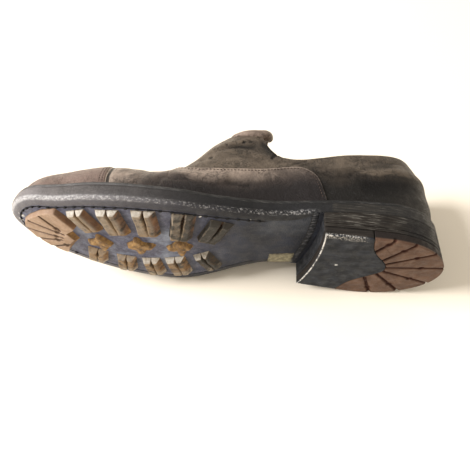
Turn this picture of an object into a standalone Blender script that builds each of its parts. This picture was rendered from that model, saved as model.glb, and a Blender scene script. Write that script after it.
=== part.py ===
"""A left cap-toe town shoe with a stitched leather sole, set-in rubber lugs and a stacked heel.

The shoe is shaped in its own frame, in millimetres: x runs from the back of the heel to the toe,
y to the outer side of the foot and z up from the ground. It is then laid on its inner side.
"""
from collections import namedtuple
import math

import bmesh
import bpy
import numpy as np
from mathutils import Matrix

MM = 0.001
GAP = 0.3                 # clearance between neighbouring pieces
MERGE = 0.00001           # points closer than this, in metres, are one
FAR = 400.0               # reach of the cutters past the shoe

# Sole and last
HEEL_BACK = -8.2          # rearmost point of the sole
TOE_TIP = 313.0           # foremost point of the sole
HEEL_ROUND = 45.0         # behind this the outline is a half ellipse
COUNTER_OUTER = 2.0       # how far the heel counter swells out at its outer corner
COUNTER_INNER = 0.0       # the same at its inner corner, which lies near the floor
COUNTER_BACK = 0.8        # the same at its back
COUNTER_TURN = 0.25       # turn of the section at which it swells most
TOE_ROUND = 276.0         # ahead of this the outline is a half ellipse
WELT_THICK = 3.0
WELT_SEAT = 9.0           # width of welt hidden under upper and insole
WELT_INSET = 0.6          # its edge, in from the edge of the outsole
WELT_ROUND = 0.7          # rounding of that edge
INSOLE_THICK = 3.0
INSOLE_CLEAR = 1.0        # between the edge of the insole and the wall
WALL = 2.0                # upper leather with its lining
VAMP_THICK = 1.2
CAP_THICK = 1.8

# Heel, heights above the ground
BREAST = 89.0             # front corners of the heel
BREAST_HOLLOW = 4.0       # depth of its curved front
WAIST_FROM = 91.0         # ahead of this the edge of the outsole turns from square
WAIST_RUN = 18.0          # to rounded within this length
HEEL_FRONT = 99.0         # how far ahead its pieces reach before the breast is cut
HEEL_CUT_HALF = 46.0      # half width of the cuts across the heel
TOP_PIECE = 7.0
LIFT_LINE = 10.0

# Tongue
TONGUE_THICK = 2.2
TONGUE_HALF = 19.0
TONGUE_FRONT = 206.0
TONGUE_KICK_FROM = 131.4  # where its top starts to stand up past the facings
TONGUE_BEND = 127.0       # where the roll at its top begins
TONGUE_KICK = 4.5         # how far it stands up there
ROLL_RADIUS = 4.2
ROLL_DEG = 200.0
TONGUE_COLUMNS = 9

# Tread
LUG_HEIGHT = 4.2
LUG_DRAFT = 1.3           # how far a lug's foot stands out past its tread face
LUG_RIM = 0.5             # upright edge at a lug's foot
LUG_BEVEL = 0.8           # how far its ends slope in past the tread face
NOTCH_HALF = 1.6          # half width of the notch between the two bars of a lug
NOTCH_HEIGHTS = (0.2, 0.3, 0.45, 0.7, 0.2)  # height left in the notch, from edge to middle, as shares
STAR_SHARES = (0.0, 0.45, 0.8, 1.0)         # rings of a star lug from its middle out
STAR_HEIGHTS = (0.95, 0.9, 0.75, 0.15)      # height of each ring, as a share
TOE_SHARES = (0.0, 0.3, 0.93, 1.0)          # rings of the toe plate from its hub out
GROOVE = 1.2
GROOVE_DEPTH = 2.0

# One row per station along the foot. swing: middle of the sole, half: half its width, under: lower
# face of the outsole, welt: upper face of the welt, lip: welt showing outside the upper, ridge_y and
# ridge: place and height of the ridge of the last, broad and tall: fullness of its section, sag: how
# far the slack inner side spreads out over the floor.
Station = namedtuple("Station", "x swing half under welt lip ridge_y ridge broad tall sag")
STATIONS = [
    Station(-6, 0.0, 39.8, 23.0, 34.0, 1.8, 0, 116, 3.2, 2.1, 0),
    Station(45, 0.0, 39.8, 21.0, 32.0, 2.0, 0, 121, 3.0, 2.1, 4.3),
    Station(90, 0.0, 37.3, 18.2, 28.8, 3.0, -1, 121, 2.5, 2.0, 5.0),
    Station(120, -2.6, 37.4, 14.1, 25.3, 4.0, -2, 121, 2.2, 1.9, 5.0),
    Station(145, -6.7, 44.5, 10.2, 21.5, 5.0, -3, 115, 2.0, 1.8, 4.0),
    Station(170, -11.5, 53.2, 6.8, 18.7, 6.0, -5, 93, 1.9, 1.8, 3.0),
    Station(182, -11.8, 55.4, 5.5, 17.9, 6.3, -6.5, 73, 1.95, 1.85, 2.5),
    Station(195, -11.6, 55.9, 4.7, 17.4, 6.5, -8, 58, 2.0, 1.9, 2.0),
    Station(225, -11.2, 52.6, 4.7, 18.2, 6.5, -10, 54.5, 2.1, 2.0, 0.5),
    Station(250, -12.6, 46.7, 6.7, 20.0, 6.5, -12, 52, 2.2, 2.1, 0),
    Station(275, -15.1, 38.2, 10.5, 22.9, 6.5, -15, 47.5, 2.3, 2.2, 0),
    Station(300, -18.2, 31.5, 16.3, 26.0, 6.5, -18, 43.5, 2.3, 2.2, 0),
    Station(313, -22.0, 24.0, 20.4, 28.0, 6.5, -22, 41.5, 2.3, 2.2, 0),
]

# Lower edge of the outsole, from its flat to its side: rounded ahead of the heel, square over it
Edge = namedtuple("Edge", "inset rise heel_inset heel_rise")
SOLE_EDGE = [
    Edge(9.0, 0.0, 4.0, 0.0),
    Edge(4.0, 0.5, 1.5, 0.0),
    Edge(1.4, 1.9, 0.4, 0.0),
    Edge(0.3, 3.6, 0.0, 0.4),
    Edge(0.0, 5.2, 0.0, 2.0),
]

# Side view of the openings and overlays: x and height above the ground
COLLAR = [(-14, 91), (6, 90), (22, 86), (40, 82), (56, 80), (72, 77), (88, 73), (100, 71), (110, 71.5),
          (117, 75), (123, 82), (127.5, 92), (130, 101), (133, 112), (138, 126)]
THROAT_FRONT = 190.0
THROAT_BACK = 112.0
THROAT_HALF = 11.0
THROAT_FLOOR = 45.0       # the cut of the throat stays above this height
SEAM = [(84, 20), (86, 30), (89, 45), (94, 55.5), (102, 60.5), (115, 59.5), (130, 55.5), (150, 50.5),
        (170, 46.5), (181, 45.5), (188, 48), (194, 54), (199, 66)]
CAP_EDGE = [(232, 15), (236, 30), (240, 45), (242, 58), (243, 70)]

# Bar lugs: outer and inner end of the middle line of the tread face, and its width
Lug = namedtuple("Lug", "x_edge y_edge x_mid y_mid width")
OUTER_LUGS = [
    Lug(253.2, 17.6, 243.0, -0.4, 13.0),
    Lug(231.0, 25.7, 224.8, 1.7, 14.0),
    Lug(207.2, 30.8, 204.0, 5.2, 13.4),
    Lug(181.1, 31.0, 183.0, 2.6, 13.6),
    Lug(155.6, 23.6, 163.6, 0.6, 15.0),
]
INNER_LUGS = [
    Lug(248.0, -46.0, 245.9, -30.8, 12.8),
    Lug(224.4, -51.5, 224.3, -33.2, 12.6),
    Lug(200.5, -53.5, 205.2, -32.2, 12.0),
    Lug(180.0, -51.0, 186.9, -27.6, 13.4),
    Lug(155.0, -40.6, 166.8, -20.0, 11.0),
]
# Star lugs: middle, reach of the four points and of the hollows between them
Star = namedtuple("Star", "x y reach waist")
CENTRE_LUGS = [Star(240.6, -16.8, 10.0, 6.0), Star(212.4, -13.0, 10.8, 6.2), Star(182.8, -9.5, 10.0, 6.0)]
STAR_TURN_DEG = -11.0
# Toe plate: its hub, the corners of its outline and the outer ends of its grooves
TOE_HUB = (271.0, -14.0)
TOE_OUTLINE = [(299.5, -20.0), (297.9, -12.0), (291.1, -3.0), (279.9, 8.0), (268.2, 14.8), (261.0, 7.0),
               (255.2, 0.0), (262.5, -9.5), (257.8, -19.0), (263.5, -28.0), (270.4, -41.9), (283.2, -38.0),
               (294.0, -30.5)]
TOE_GROOVES = [(280.8, 3.5), (292.2, -8.1), (297.2, -18.4), (291.7, -29.2), (280.0, -36.4)]
# Heel top piece: edge between leather and rubber, and the grooves of the rubber
HEEL_SPLIT = [(57, 46), (56.5, 39.7), (52, 27), (43, 16), (35.5, 8), (33.2, 0), (37, -6.5), (45, -15.2),
              (52.7, -26.5), (56.8, -38.2), (57, -46)]
Groove = namedtuple("Groove", "x_in y_in x_out y_out")
HEEL_GROOVES = [
    Groove(50.5, 22.0, 41.0, 45.0),
    Groove(40.0, 14.0, 25.5, 42.0),
    Groove(36.0, 9.0, 5.5, 33.5),
    Groove(34.5, 3.9, -10.0, 14.6),
    Groove(34.5, -1.0, -10.0, -12.4),
    Groove(36.5, -5.8, 7.0, -31.0),
    Groove(42.0, -14.0, 26.5, -42.0),
]

# How the shoe lies on its inner side, turned from lying square
LEAN_ROLL_DEG = 0.55
LEAN_PITCH_DEG = 10.77


def curve_through(xs, ys):
    """Natural cubic spline through the given points, as a function of x."""
    xs = np.asarray(xs, float)
    ys = np.asarray(ys, float)
    step = np.diff(xs)
    count = len(xs)
    system = np.eye(count)
    right = np.zeros(count)
    for k in range(1, count - 1):
        system[k, k - 1:k + 2] = step[k - 1], 2 * (step[k - 1] + step[k]), step[k]
        right[k] = 6 * ((ys[k + 1] - ys[k]) / step[k] - (ys[k] - ys[k - 1]) / step[k - 1])
    bend = np.linalg.solve(system, right)

    def value(x):
        x = np.clip(np.asarray(x, float), xs[0], xs[-1])
        k = np.clip(np.searchsorted(xs, x) - 1, 0, count - 2)
        after = x - xs[k]
        before = xs[k + 1] - x
        cubic = (bend[k] * before ** 3 + bend[k + 1] * after ** 3) / (6 * step[k])
        low = (ys[k] / step[k] - bend[k] * step[k] / 6) * before
        high = (ys[k + 1] / step[k] - bend[k + 1] * step[k] / 6) * after
        return cubic + low + high
    return value


def smooth_path(points, count):
    """A number of points on a smooth curve through the given corners."""
    points = np.asarray(points, float)
    run = np.concatenate([[0], np.cumsum(np.linalg.norm(np.diff(points, axis=0), axis=1))])
    ts = np.linspace(0, run[-1], count)
    return np.stack([curve_through(run, points[:, axis])(ts) for axis in range(points.shape[1])], axis=1)


def column(name):
    """One column of the station table as a smooth function of x."""
    return curve_through([row.x for row in STATIONS], [getattr(row, name) for row in STATIONS])


swing = column("swing")
half = column("half")
under = column("under")
welt_top = column("welt")
lip = column("lip")
ridge_y = column("ridge_y")
ridge = column("ridge")
broad = column("broad")
tall = column("tall")
sag = column("sag")

# Places along one side of every ring, from the toe tip to the back of the heel
TOE_STEPS = 9
HEEL_STEPS = 8
SIDE_STEPS = 26
TOE_TURN = np.linspace(math.pi / 2, 0, TOE_STEPS, endpoint=False)
HEEL_TURN = np.linspace(math.pi / 2, 0, HEEL_STEPS, endpoint=False)[::-1]
SIDE_X = np.linspace(TOE_ROUND, HEEL_ROUND, SIDE_STEPS)
PLACE_X = np.concatenate([np.full(TOE_STEPS, TOE_ROUND), SIDE_X, np.full(HEEL_STEPS, HEEL_ROUND)])
TOE_SIN = np.concatenate([np.sin(TOE_TURN), np.zeros(SIDE_STEPS + HEEL_STEPS)])
HEEL_SIN = np.concatenate([np.zeros(TOE_STEPS + SIDE_STEPS), np.sin(HEEL_TURN)])
ROUNDING = np.concatenate([np.cos(TOE_TURN), np.ones(SIDE_STEPS), np.cos(HEEL_TURN)])
LAST_ROWS = 10            # rows of points from the feather line of the last to its ridge


def outline_side(side, inset):
    """One side of the sole's outline, moved in by inset; side is 1 for outer and -1 for inner."""
    toe_reach = TOE_TIP - inset - TOE_ROUND
    heel_reach = HEEL_ROUND - HEEL_BACK - inset
    x = PLACE_X + TOE_SIN * toe_reach - HEEL_SIN * heel_reach
    y = swing(x) + side * ROUNDING * (half(x) - inset)
    return x, y


SOLE_X = outline_side(1, 0.0)[0]
LIP = lip(SOLE_X)         # welt showing outside the upper at each place


def ring(inset, height, ahead=TOE_TIP):
    """Ring round the sole behind x = ahead: outer side toe to heel, then inner side heel to toe."""
    keep = SOLE_X <= ahead
    sides = [np.stack(outline_side(side, inset), axis=1)[keep] for side in (1, -1)]
    plan = np.concatenate([sides[0], sides[1][::-1]])
    return np.column_stack([plan, height(plan[:, 0])])


def level(z):
    """Height function of a flat face."""
    return lambda x: np.full(len(x), float(z))


def finish(name, colour, roughness):
    """Plain material of one piece."""
    paint = bpy.data.materials.new(name)
    paint.use_nodes = True
    shader = paint.node_tree.nodes["Principled BSDF"]
    shader.inputs["Base Color"].default_value = (*colour, 1.0)
    shader.inputs["Roughness"].default_value = roughness
    shader.inputs["Metallic"].default_value = 0.0
    paint.diffuse_color = (*colour, 1.0)
    return paint


def new_object(name, points, faces, collection, paint=None):
    """Mesh object from points in millimetres, doubles merged and faces turned outwards."""
    mesh = bpy.data.meshes.new(name)
    mesh.from_pydata((np.asarray(points) * MM).tolist(), [], faces)
    work = bmesh.new()
    work.from_mesh(mesh)
    bmesh.ops.remove_doubles(work, verts=work.verts, dist=MERGE)
    bmesh.ops.dissolve_degenerate(work, edges=work.edges, dist=MERGE)
    bmesh.ops.recalc_face_normals(work, faces=work.faces)
    if work.calc_volume(signed=True) < 0:
        bmesh.ops.reverse_faces(work, faces=work.faces)
    work.to_mesh(mesh)
    work.free()
    shape = bpy.data.objects.new(name, mesh)
    collection.objects.link(shape)
    if paint:
        mesh.materials.append(paint)
    return shape


def grid_faces(rows, columns, wrap_rows=False, wrap_columns=False):
    """Four-sided faces of a grid of points, numbered row by row."""
    faces = []
    for r in range(rows if wrap_rows else rows - 1):
        n = (r + 1) % rows
        for c in range(columns if wrap_columns else columns - 1):
            d = (c + 1) % columns
            faces.append((r * columns + c, r * columns + d, n * columns + d, n * columns + c))
    return faces


def strip_faces(start, count):
    """Faces across a ring, joining each place on one side with the same place on the other."""
    end = start + count - 1
    return [(start + k, start + k + 1, end - k - 1, end - k) for k in range(count // 2 - 1)]


def stacked_rings(name, rings, collection, paint=None):
    """Solid with the given rings one above the other, closed by strips at both ends."""
    count = len(rings[0])
    faces = grid_faces(len(rings), count, wrap_columns=True)
    faces += strip_faces(0, count) + strip_faces((len(rings) - 1) * count, count)
    return new_object(name, np.concatenate(rings), faces, collection, paint)


def prism(name, outline, low, high, collection, upright=True):
    """Cutter: a plan outline carried from low to high, or a side outline when not upright."""
    count = len(outline)
    a, b = np.asarray(outline, float).T
    ends = []
    for value in (low, high):
        c = np.full(count, float(value))
        ends.append(np.column_stack([a, b, c] if upright else [a, c, b]))
    faces = grid_faces(2, count, wrap_columns=True)
    faces += [tuple(range(count)), tuple(range(count, 2 * count))]
    cutter = new_object(name, np.concatenate(ends), faces, collection)
    cutter.hide_render = True
    cutter.display_type = "WIRE"
    return cutter


def cut(shape, cutter, operation="DIFFERENCE"):
    modifier = shape.modifiers.new(cutter.name, "BOOLEAN")
    modifier.operation = operation
    modifier.solver = "EXACT"
    modifier.object = cutter


def last_side(side, turn):
    """Points of the last on one side: a row per place, a column per turn from feather line to ridge.

    Each section runs from the feather line to the spine as a superellipse: its distance in plan
    shrinks with cos(turn)^(2/broad), its height grows with sin(turn)^(2/tall) up to the ridge.
    The lower half of the inner side stands out by up to sag, the heel counter swells out all round.
    """
    foot_x, foot_y = outline_side(side, LIP)
    spine_x = np.clip(foot_x, HEEL_ROUND, TOE_ROUND)
    spine_y = ridge_y(spine_x)
    share = np.cos(turn) ** (2 / broad(spine_x)[:, None])
    rise = np.sin(turn) ** (2 / tall(spine_x)[:, None])
    x = spine_x[:, None] + share * (foot_x - spine_x)[:, None]
    y = spine_y[:, None] + share * (foot_y - spine_y)[:, None]
    if side < 0:
        y = y - np.sin(np.minimum(4 * turn, math.pi)) * (sag(spine_x) * ROUNDING)[:, None]
    back = np.clip((HEEL_ROUND - foot_x) / (HEEL_ROUND - foot_x.min()), 0, 1)[:, None]
    beside = np.sqrt(1 - back ** 2)
    corner = COUNTER_OUTER if side > 0 else COUNTER_INNER
    swell = 2 * corner * back * beside + COUNTER_BACK * back ** 2
    swell = swell * (turn / COUNTER_TURN) ** 2 * np.exp(2 - 2 * turn / COUNTER_TURN)
    x = x - swell * back
    y = y + side * swell * beside
    foot_z = (welt_top(foot_x) + GAP)[:, None]
    z = foot_z + (ridge(x) - foot_z) * rise
    return np.stack([x, y, z], axis=2)


def last_height(x, offset):
    """Height of the last over a point beside its ridge, both given as arrays."""
    side = np.where(offset >= 0, 1.0, -1.0)
    reach = np.abs(swing(x) + side * (half(x) - lip(x)) - ridge_y(x))
    share = np.clip(np.abs(offset) / reach, 0, 1)
    turn = np.arccos(share ** (broad(x) / 2))
    foot_z = welt_top(x) + GAP
    return foot_z + (ridge(x) - foot_z) * np.sin(turn) ** (2 / tall(x))


def lifted(grid, distance):
    """A grid of points moved along its own normals."""
    normal = np.cross(np.gradient(grid, axis=0), np.gradient(grid, axis=1))
    return grid + distance * normal / np.linalg.norm(normal, axis=2, keepdims=True)


def lifted_last(grid, distance):
    """The grid of the last moved along its normals, its lower edge kept just above the welt."""
    along = np.roll(grid, -1, axis=0) - np.roll(grid, 1, axis=0)
    normal = np.cross(along, np.gradient(grid, axis=1))
    normal[:, 0, 2] = 0.0
    top_x = grid[:, -1, 0]
    normal[:, -1] = np.column_stack([ridge(top_x - 0.5) - ridge(top_x + 0.5), 0 * top_x, 1 + 0 * top_x])
    moved = grid + distance * normal / np.linalg.norm(normal, axis=2, keepdims=True)
    moved[:, 0, 2] = welt_top(moved[:, 0, 0]) + GAP
    return moved


def last_shell(name, inside, outside, collection, paint=None):
    """Dome over the whole last, its wall between two distances from it, open at the feather line."""
    turn = np.linspace(0, math.pi / 2, LAST_ROWS)
    grid = np.concatenate([last_side(1, turn)[:-1], last_side(-1, turn)[:0:-1]])
    places = len(grid)
    count = places * LAST_ROWS
    walls = [lifted_last(grid, inside), lifted_last(grid, outside)]
    points = np.concatenate(walls).reshape(-1, 3)
    faces = []
    for a, b, c, d in grid_faces(places, LAST_ROWS, wrap_rows=True):
        faces += [(a, c, b), (a, d, c)]
        faces += [(a + count, b + count, c + count), (a + count, c + count, d + count)]
    for k in range(places):
        a = k * LAST_ROWS
        b = (k + 1) % places * LAST_ROWS
        faces.append((a, b, b + count, a + count))
    return new_object(name, points, faces, collection, paint)


def build_upper(parts, cutters):
    """Hollow wall of the upper, cut open at the collar and along the throat."""
    upper = last_shell("upper", -WALL, 0.0, parts, finish("upper_leather", (0.070, 0.055, 0.045), 0.55))
    collar = smooth_path(COLLAR, 60).tolist()
    collar += [(COLLAR[-1][0], FAR), (-FAR, FAR), (-FAR, COLLAR[0][1])]
    cut(upper, prism("collar_cut", collar, -FAR, FAR, cutters, upright=False))
    turn = np.linspace(math.pi / 2, -math.pi / 2, 13)
    front_x = THROAT_FRONT - THROAT_HALF + THROAT_HALF * np.cos(turn)
    front_y = ridge_y(front_x) + THROAT_HALF * np.sin(turn)
    side_x = np.linspace(THROAT_BACK, front_x[0], 6)[:-1]
    slot_x = np.concatenate([side_x, front_x, side_x[::-1]])
    slot_y = np.concatenate([ridge_y(side_x) + THROAT_HALF, front_y, ridge_y(side_x[::-1]) - THROAT_HALF])
    cut(upper, prism("throat_cut", np.column_stack([slot_x, slot_y]), THROAT_FLOOR, FAR, cutters))


def build_overlays(parts, cutters):
    """Vamp and toe cap: layers over the upper, cut to their outlines in side view."""
    seam = smooth_path(SEAM, 60).tolist()
    edge = smooth_path(CAP_EDGE, 12).tolist()
    paint = finish("vamp_leather", (0.082, 0.064, 0.052), 0.5)
    vamp = last_shell("vamp", GAP, GAP + VAMP_THICK, parts, paint)
    vamp_side = seam + [(SEAM[-1][0], FAR), (CAP_EDGE[-1][0], FAR)] + edge[::-1]
    vamp_side += [(CAP_EDGE[0][0], -FAR), (SEAM[0][0], -FAR)]
    cut(vamp, prism("vamp_side", vamp_side, -FAR, FAR, cutters, upright=False), "INTERSECT")
    paint = finish("cap_leather", (0.125, 0.096, 0.078), 0.45)
    cap = last_shell("toe_cap", GAP, GAP + CAP_THICK, parts, paint)
    cap_side = [(x + GAP, z) for x, z in edge]
    cap_side += [(CAP_EDGE[-1][0] + GAP, FAR), (FAR, FAR), (FAR, -FAR), (CAP_EDGE[0][0] + GAP, -FAR)]
    cut(cap, prism("cap_side", cap_side, -FAR, FAR, cutters, upright=False), "INTERSECT")


def build_tongue(parts):
    """Flap under the throat: follows the last just inside the wall, then rolls over at its top."""
    standing = np.linspace(TONGUE_KICK_FROM, TONGUE_BEND, 3)[1:]
    x = np.append(np.linspace(TONGUE_FRONT, TONGUE_KICK_FROM, 11), standing)[:, None]
    offset = np.linspace(TONGUE_HALF, -TONGUE_HALF, TONGUE_COLUMNS)[None, :]
    x, offset = np.broadcast_arrays(x, offset)
    flap = np.stack([x, ridge_y(x) + offset, last_height(x, offset)], axis=2)
    flap = lifted(flap, -WALL - 2 * GAP)
    kick = np.clip((TONGUE_KICK_FROM - x) / (TONGUE_KICK_FROM - TONGUE_BEND), 0, 1)
    flap[:, :, 2] += TONGUE_KICK * kick
    end = flap[-1]
    middle = (flap[-1] - flap[-2])[TONGUE_COLUMNS // 2]
    run = np.array([middle[0], 0.0, middle[2]]) / math.hypot(middle[0], middle[2])
    down = np.array([-run[2], 0.0, run[0]])
    turn = np.radians(np.linspace(0, ROLL_DEG, 8))[1:, None]
    arc = ROLL_RADIUS * (np.sin(turn) * run + (1 - np.cos(turn)) * down)
    grid = np.concatenate([flap, end[None] + arc[:, None, :]])
    tongue = new_object("tongue", grid.reshape(-1, 3), grid_faces(*grid.shape[:2]), parts,
                        finish("tongue_leather", (0.095, 0.072, 0.056), 0.6))
    wall = tongue.modifiers.new("wall", "SOLIDIFY")
    wall.thickness = TONGUE_THICK * MM
    wall.offset = -1.0


def build_sole(parts):
    """Welt ring, outsole and insole, all from the same outline."""
    def welt_low(x):
        return welt_top(x) - WELT_THICK

    seat = LIP + WELT_SEAT
    rings = [
        ring(WELT_INSET + WELT_ROUND, welt_low),
        ring(WELT_INSET, lambda x: welt_low(x) + WELT_ROUND),
        ring(WELT_INSET, lambda x: welt_top(x) - WELT_ROUND),
        ring(WELT_INSET + WELT_ROUND, welt_top),
        ring(seat, welt_top),
        ring(seat, welt_low),
    ]
    faces = grid_faces(len(rings), len(rings[0]), wrap_rows=True, wrap_columns=True)
    paint = finish("welt_leather", (0.060, 0.056, 0.055), 0.5)
    new_object("welt", np.concatenate(rings), faces, parts, paint)

    def fore(x):
        share = np.clip((x - WAIST_FROM) / WAIST_RUN, 0, 1)
        return share * share * (3 - 2 * share)

    ahead = fore(SOLE_X)
    levels = []
    for edge in SOLE_EDGE:
        inset = ahead * edge.inset + (1 - ahead) * edge.heel_inset
        more = edge.rise - edge.heel_rise
        levels.append(ring(inset, lambda x: under(x) + edge.heel_rise + fore(x) * more))
    levels.append(ring(0.0, lambda x: welt_low(x) - GAP))
    stacked_rings("outsole", levels, parts, finish("sole_leather", (0.060, 0.060, 0.066), 0.6))

    inset = LIP + WALL + INSOLE_CLEAR
    board = [
        ring(inset, lambda x: welt_top(x) + GAP),
        ring(inset, lambda x: welt_top(x) + GAP + INSOLE_THICK),
    ]
    stacked_rings("insole", board, parts, finish("insole_leather", (0.200, 0.130, 0.080), 0.6))


def build_heel(parts, cutters):
    """Two lifts and a top piece of leather and rubber, hollowed at the breast."""
    across = np.linspace(-HEEL_CUT_HALF, HEEL_CUT_HALF, 25)
    hollow = BREAST - BREAST_HOLLOW * (1 - (across / half(BREAST)) ** 2)
    ahead = [(FAR, HEEL_CUT_HALF), (FAR, -HEEL_CUT_HALF)]
    breast = np.column_stack([hollow, across]).tolist() + ahead
    breast_cut = prism("breast_cut", breast, -FAR, FAR, cutters)
    lift_paint = finish("heel_leather", (0.045, 0.041, 0.037), 0.6)
    leather_paint = finish("top_leather", (0.064, 0.061, 0.058), 0.65)
    rubber_paint = finish("heel_rubber", (0.140, 0.076, 0.048), 0.5)
    lifts = [
        ("heel_lift_1", level(LIFT_LINE + GAP), lambda x: under(x) - GAP, lift_paint),
        ("heel_lift_2", level(TOP_PIECE + GAP), level(LIFT_LINE), lift_paint),
        ("heel_top_leather", level(0), level(TOP_PIECE), leather_paint),
        ("heel_top_rubber", level(0), level(TOP_PIECE), rubber_paint),
    ]
    pieces = {}
    for name, low, high, paint in lifts:
        rings = [ring(0.0, low, HEEL_FRONT), ring(0.0, high, HEEL_FRONT)]
        pieces[name] = stacked_rings(name, rings, parts, paint)
        cut(pieces[name], breast_cut)
    split = smooth_path(HEEL_SPLIT, 31)
    leather_side = prism("leather_side", (split + (GAP, 0)).tolist() + ahead[::-1], -FAR, FAR, cutters)
    rubber_side = prism("rubber_side", split.tolist() + ahead[::-1], -FAR, FAR, cutters)
    cut(pieces["heel_top_leather"], leather_side, "INTERSECT")
    cut(pieces["heel_top_rubber"], rubber_side)
    for k, groove in enumerate(HEEL_GROOVES, 1):
        start = np.array([groove.x_in, groove.y_in])
        run = np.array([groove.x_out, groove.y_out]) - start
        aside = np.array([-run[1], run[0]]) / np.linalg.norm(run) * GROOVE / 2
        outline = [start + aside, start + run + aside, start + run - aside, start - aside]
        cut(pieces["heel_top_rubber"], prism(f"heel_groove_{k}", outline, -FAR, GROOVE_DEPTH, cutters))


def tread_block(name, x, y, height, parts, paint, around=False):
    """Block under the outsole: a grid in plan whose tread side stands off by height at each point.

    around says that the columns close into a ring about a hub, which is the first row.
    """
    rows, columns = x.shape
    foot = under(x) - GAP
    seat = np.stack([x, y, foot], axis=2).reshape(-1, 3)
    tread = np.stack([x, y, foot - height], axis=2).reshape(-1, 3)
    face = grid_faces(rows, columns, wrap_columns=around)
    count = rows * columns
    faces = face + [tuple(k + count for k in f) for f in face]
    if around:
        loop = [(rows - 1) * columns + c for c in range(columns)]
    else:
        loop = list(range(columns)) + [r * columns + columns - 1 for r in range(1, rows)]
        loop += [(rows - 1) * columns + c for c in range(columns - 2, -1, -1)]
        loop += [r * columns for r in range(rows - 2, 0, -1)]
    for a, b in zip(loop, loop[1:] + loop[:1]):
        faces.append((a, b, b + count, a + count))
    new_object(name, np.concatenate([seat, tread]), faces, parts, paint)


def build_bar_lug(name, lug, parts, paint):
    """Two bars side by side with a notch between them, deepest at the edge of the sole."""
    start = np.array([lug.x_edge, lug.y_edge])
    run = np.array([lug.x_mid, lug.y_mid]) - start
    length = np.linalg.norm(run)
    along = run / length
    aside = np.array([-along[1], along[0]])
    reach = lug.width / 2
    u = np.array([-LUG_DRAFT, LUG_BEVEL, length / 2, length - LUG_BEVEL, length + LUG_DRAFT])
    v = np.array([-reach - LUG_DRAFT, -reach, -NOTCH_HALF, 0, NOTCH_HALF, reach, reach + LUG_DRAFT])
    plan = start + u[:, None, None] * along + v[None, :, None] * aside
    height = np.full((len(u), len(v)), LUG_HEIGHT - GAP)
    height[:, len(v) // 2] = LUG_HEIGHT * np.array(NOTCH_HEIGHTS)
    height[[0, -1], :] = LUG_RIM
    height[:, [0, -1]] = LUG_RIM
    tread_block(name, plan[..., 0], plan[..., 1], height, parts, paint)


def build_star_lug(name, star, parts, paint):
    """Low dome with four points."""
    turn = np.linspace(0, 2 * math.pi, 16, endpoint=False)
    reach = star.waist + (star.reach - star.waist) * np.cos(2 * turn) ** 2
    share = np.array(STAR_SHARES)[:, None]
    angle = turn + math.radians(STAR_TURN_DEG)
    x = star.x + share * reach * np.cos(angle)
    y = star.y + share * reach * np.sin(angle)
    height = np.broadcast_to(np.array(STAR_HEIGHTS)[:, None] * LUG_HEIGHT, x.shape)
    tread_block(name, x, y, height, parts, paint, around=True)


def build_toe_tread(parts, paint):
    """Fan-shaped plate at the toe, its grooves running out from the hub."""
    corners = np.array(TOE_OUTLINE) - TOE_HUB
    corner_turn = np.unwrap(np.arctan2(corners[:, 1], corners[:, 0]))
    corner_reach = np.hypot(corners[:, 0], corners[:, 1])
    order = np.argsort(corner_turn)
    ends = np.array(TOE_GROOVES) - TOE_HUB
    groove_turn = np.arctan2(ends[:, 1], ends[:, 0])
    beside = GROOVE / np.hypot(ends[:, 0], ends[:, 1])
    turn = np.concatenate([corner_turn, groove_turn, groove_turn - beside, groove_turn + beside])
    low = np.concatenate([np.zeros(len(corner_turn)), np.ones(len(ends)), np.zeros(2 * len(ends))])
    turn, first = np.unique(np.mod(turn, 2 * math.pi), return_index=True)
    low = low[first]

    def reach(angle):
        """Distance of the outline from the hub: straight runs between the corners."""
        a = np.concatenate([corner_turn[order], [corner_turn[order][0] + 2 * math.pi]])
        r = np.concatenate([corner_reach[order], [corner_reach[order][0]]])
        angle = a[0] + np.mod(angle - a[0], 2 * math.pi)
        k = np.clip(np.searchsorted(a, angle, side="right") - 1, 0, len(a) - 2)
        sine = np.sin(a[k + 1] - a[k])
        return r[k] * r[k + 1] * sine / (r[k] * np.sin(angle - a[k]) + r[k + 1] * np.sin(a[k + 1] - angle))

    share = np.array(TOE_SHARES)[:, None]
    x = TOE_HUB[0] + share * reach(turn) * np.cos(turn)
    y = TOE_HUB[1] + share * reach(turn) * np.sin(turn)
    full = LUG_HEIGHT - GAP
    whole = np.full(len(turn), full)
    height = np.stack([whole, whole, full - low * GROOVE_DEPTH, np.full(len(turn), LUG_RIM)])
    tread_block("toe_tread", x, y, height, parts, paint, around=True)


def build_tread(parts):
    paint = finish("tread_rubber", (0.310, 0.200, 0.120), 0.5)
    build_toe_tread(parts, paint)
    for k, lug in enumerate(OUTER_LUGS, 1):
        build_bar_lug(f"lug_outer_{k}", lug, parts, paint)
    for k, lug in enumerate(INNER_LUGS, 1):
        build_bar_lug(f"lug_inner_{k}", lug, parts, paint)
    for k, star in enumerate(CENTRE_LUGS, 1):
        build_star_lug(f"lug_centre_{k}", star, parts, paint)


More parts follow.
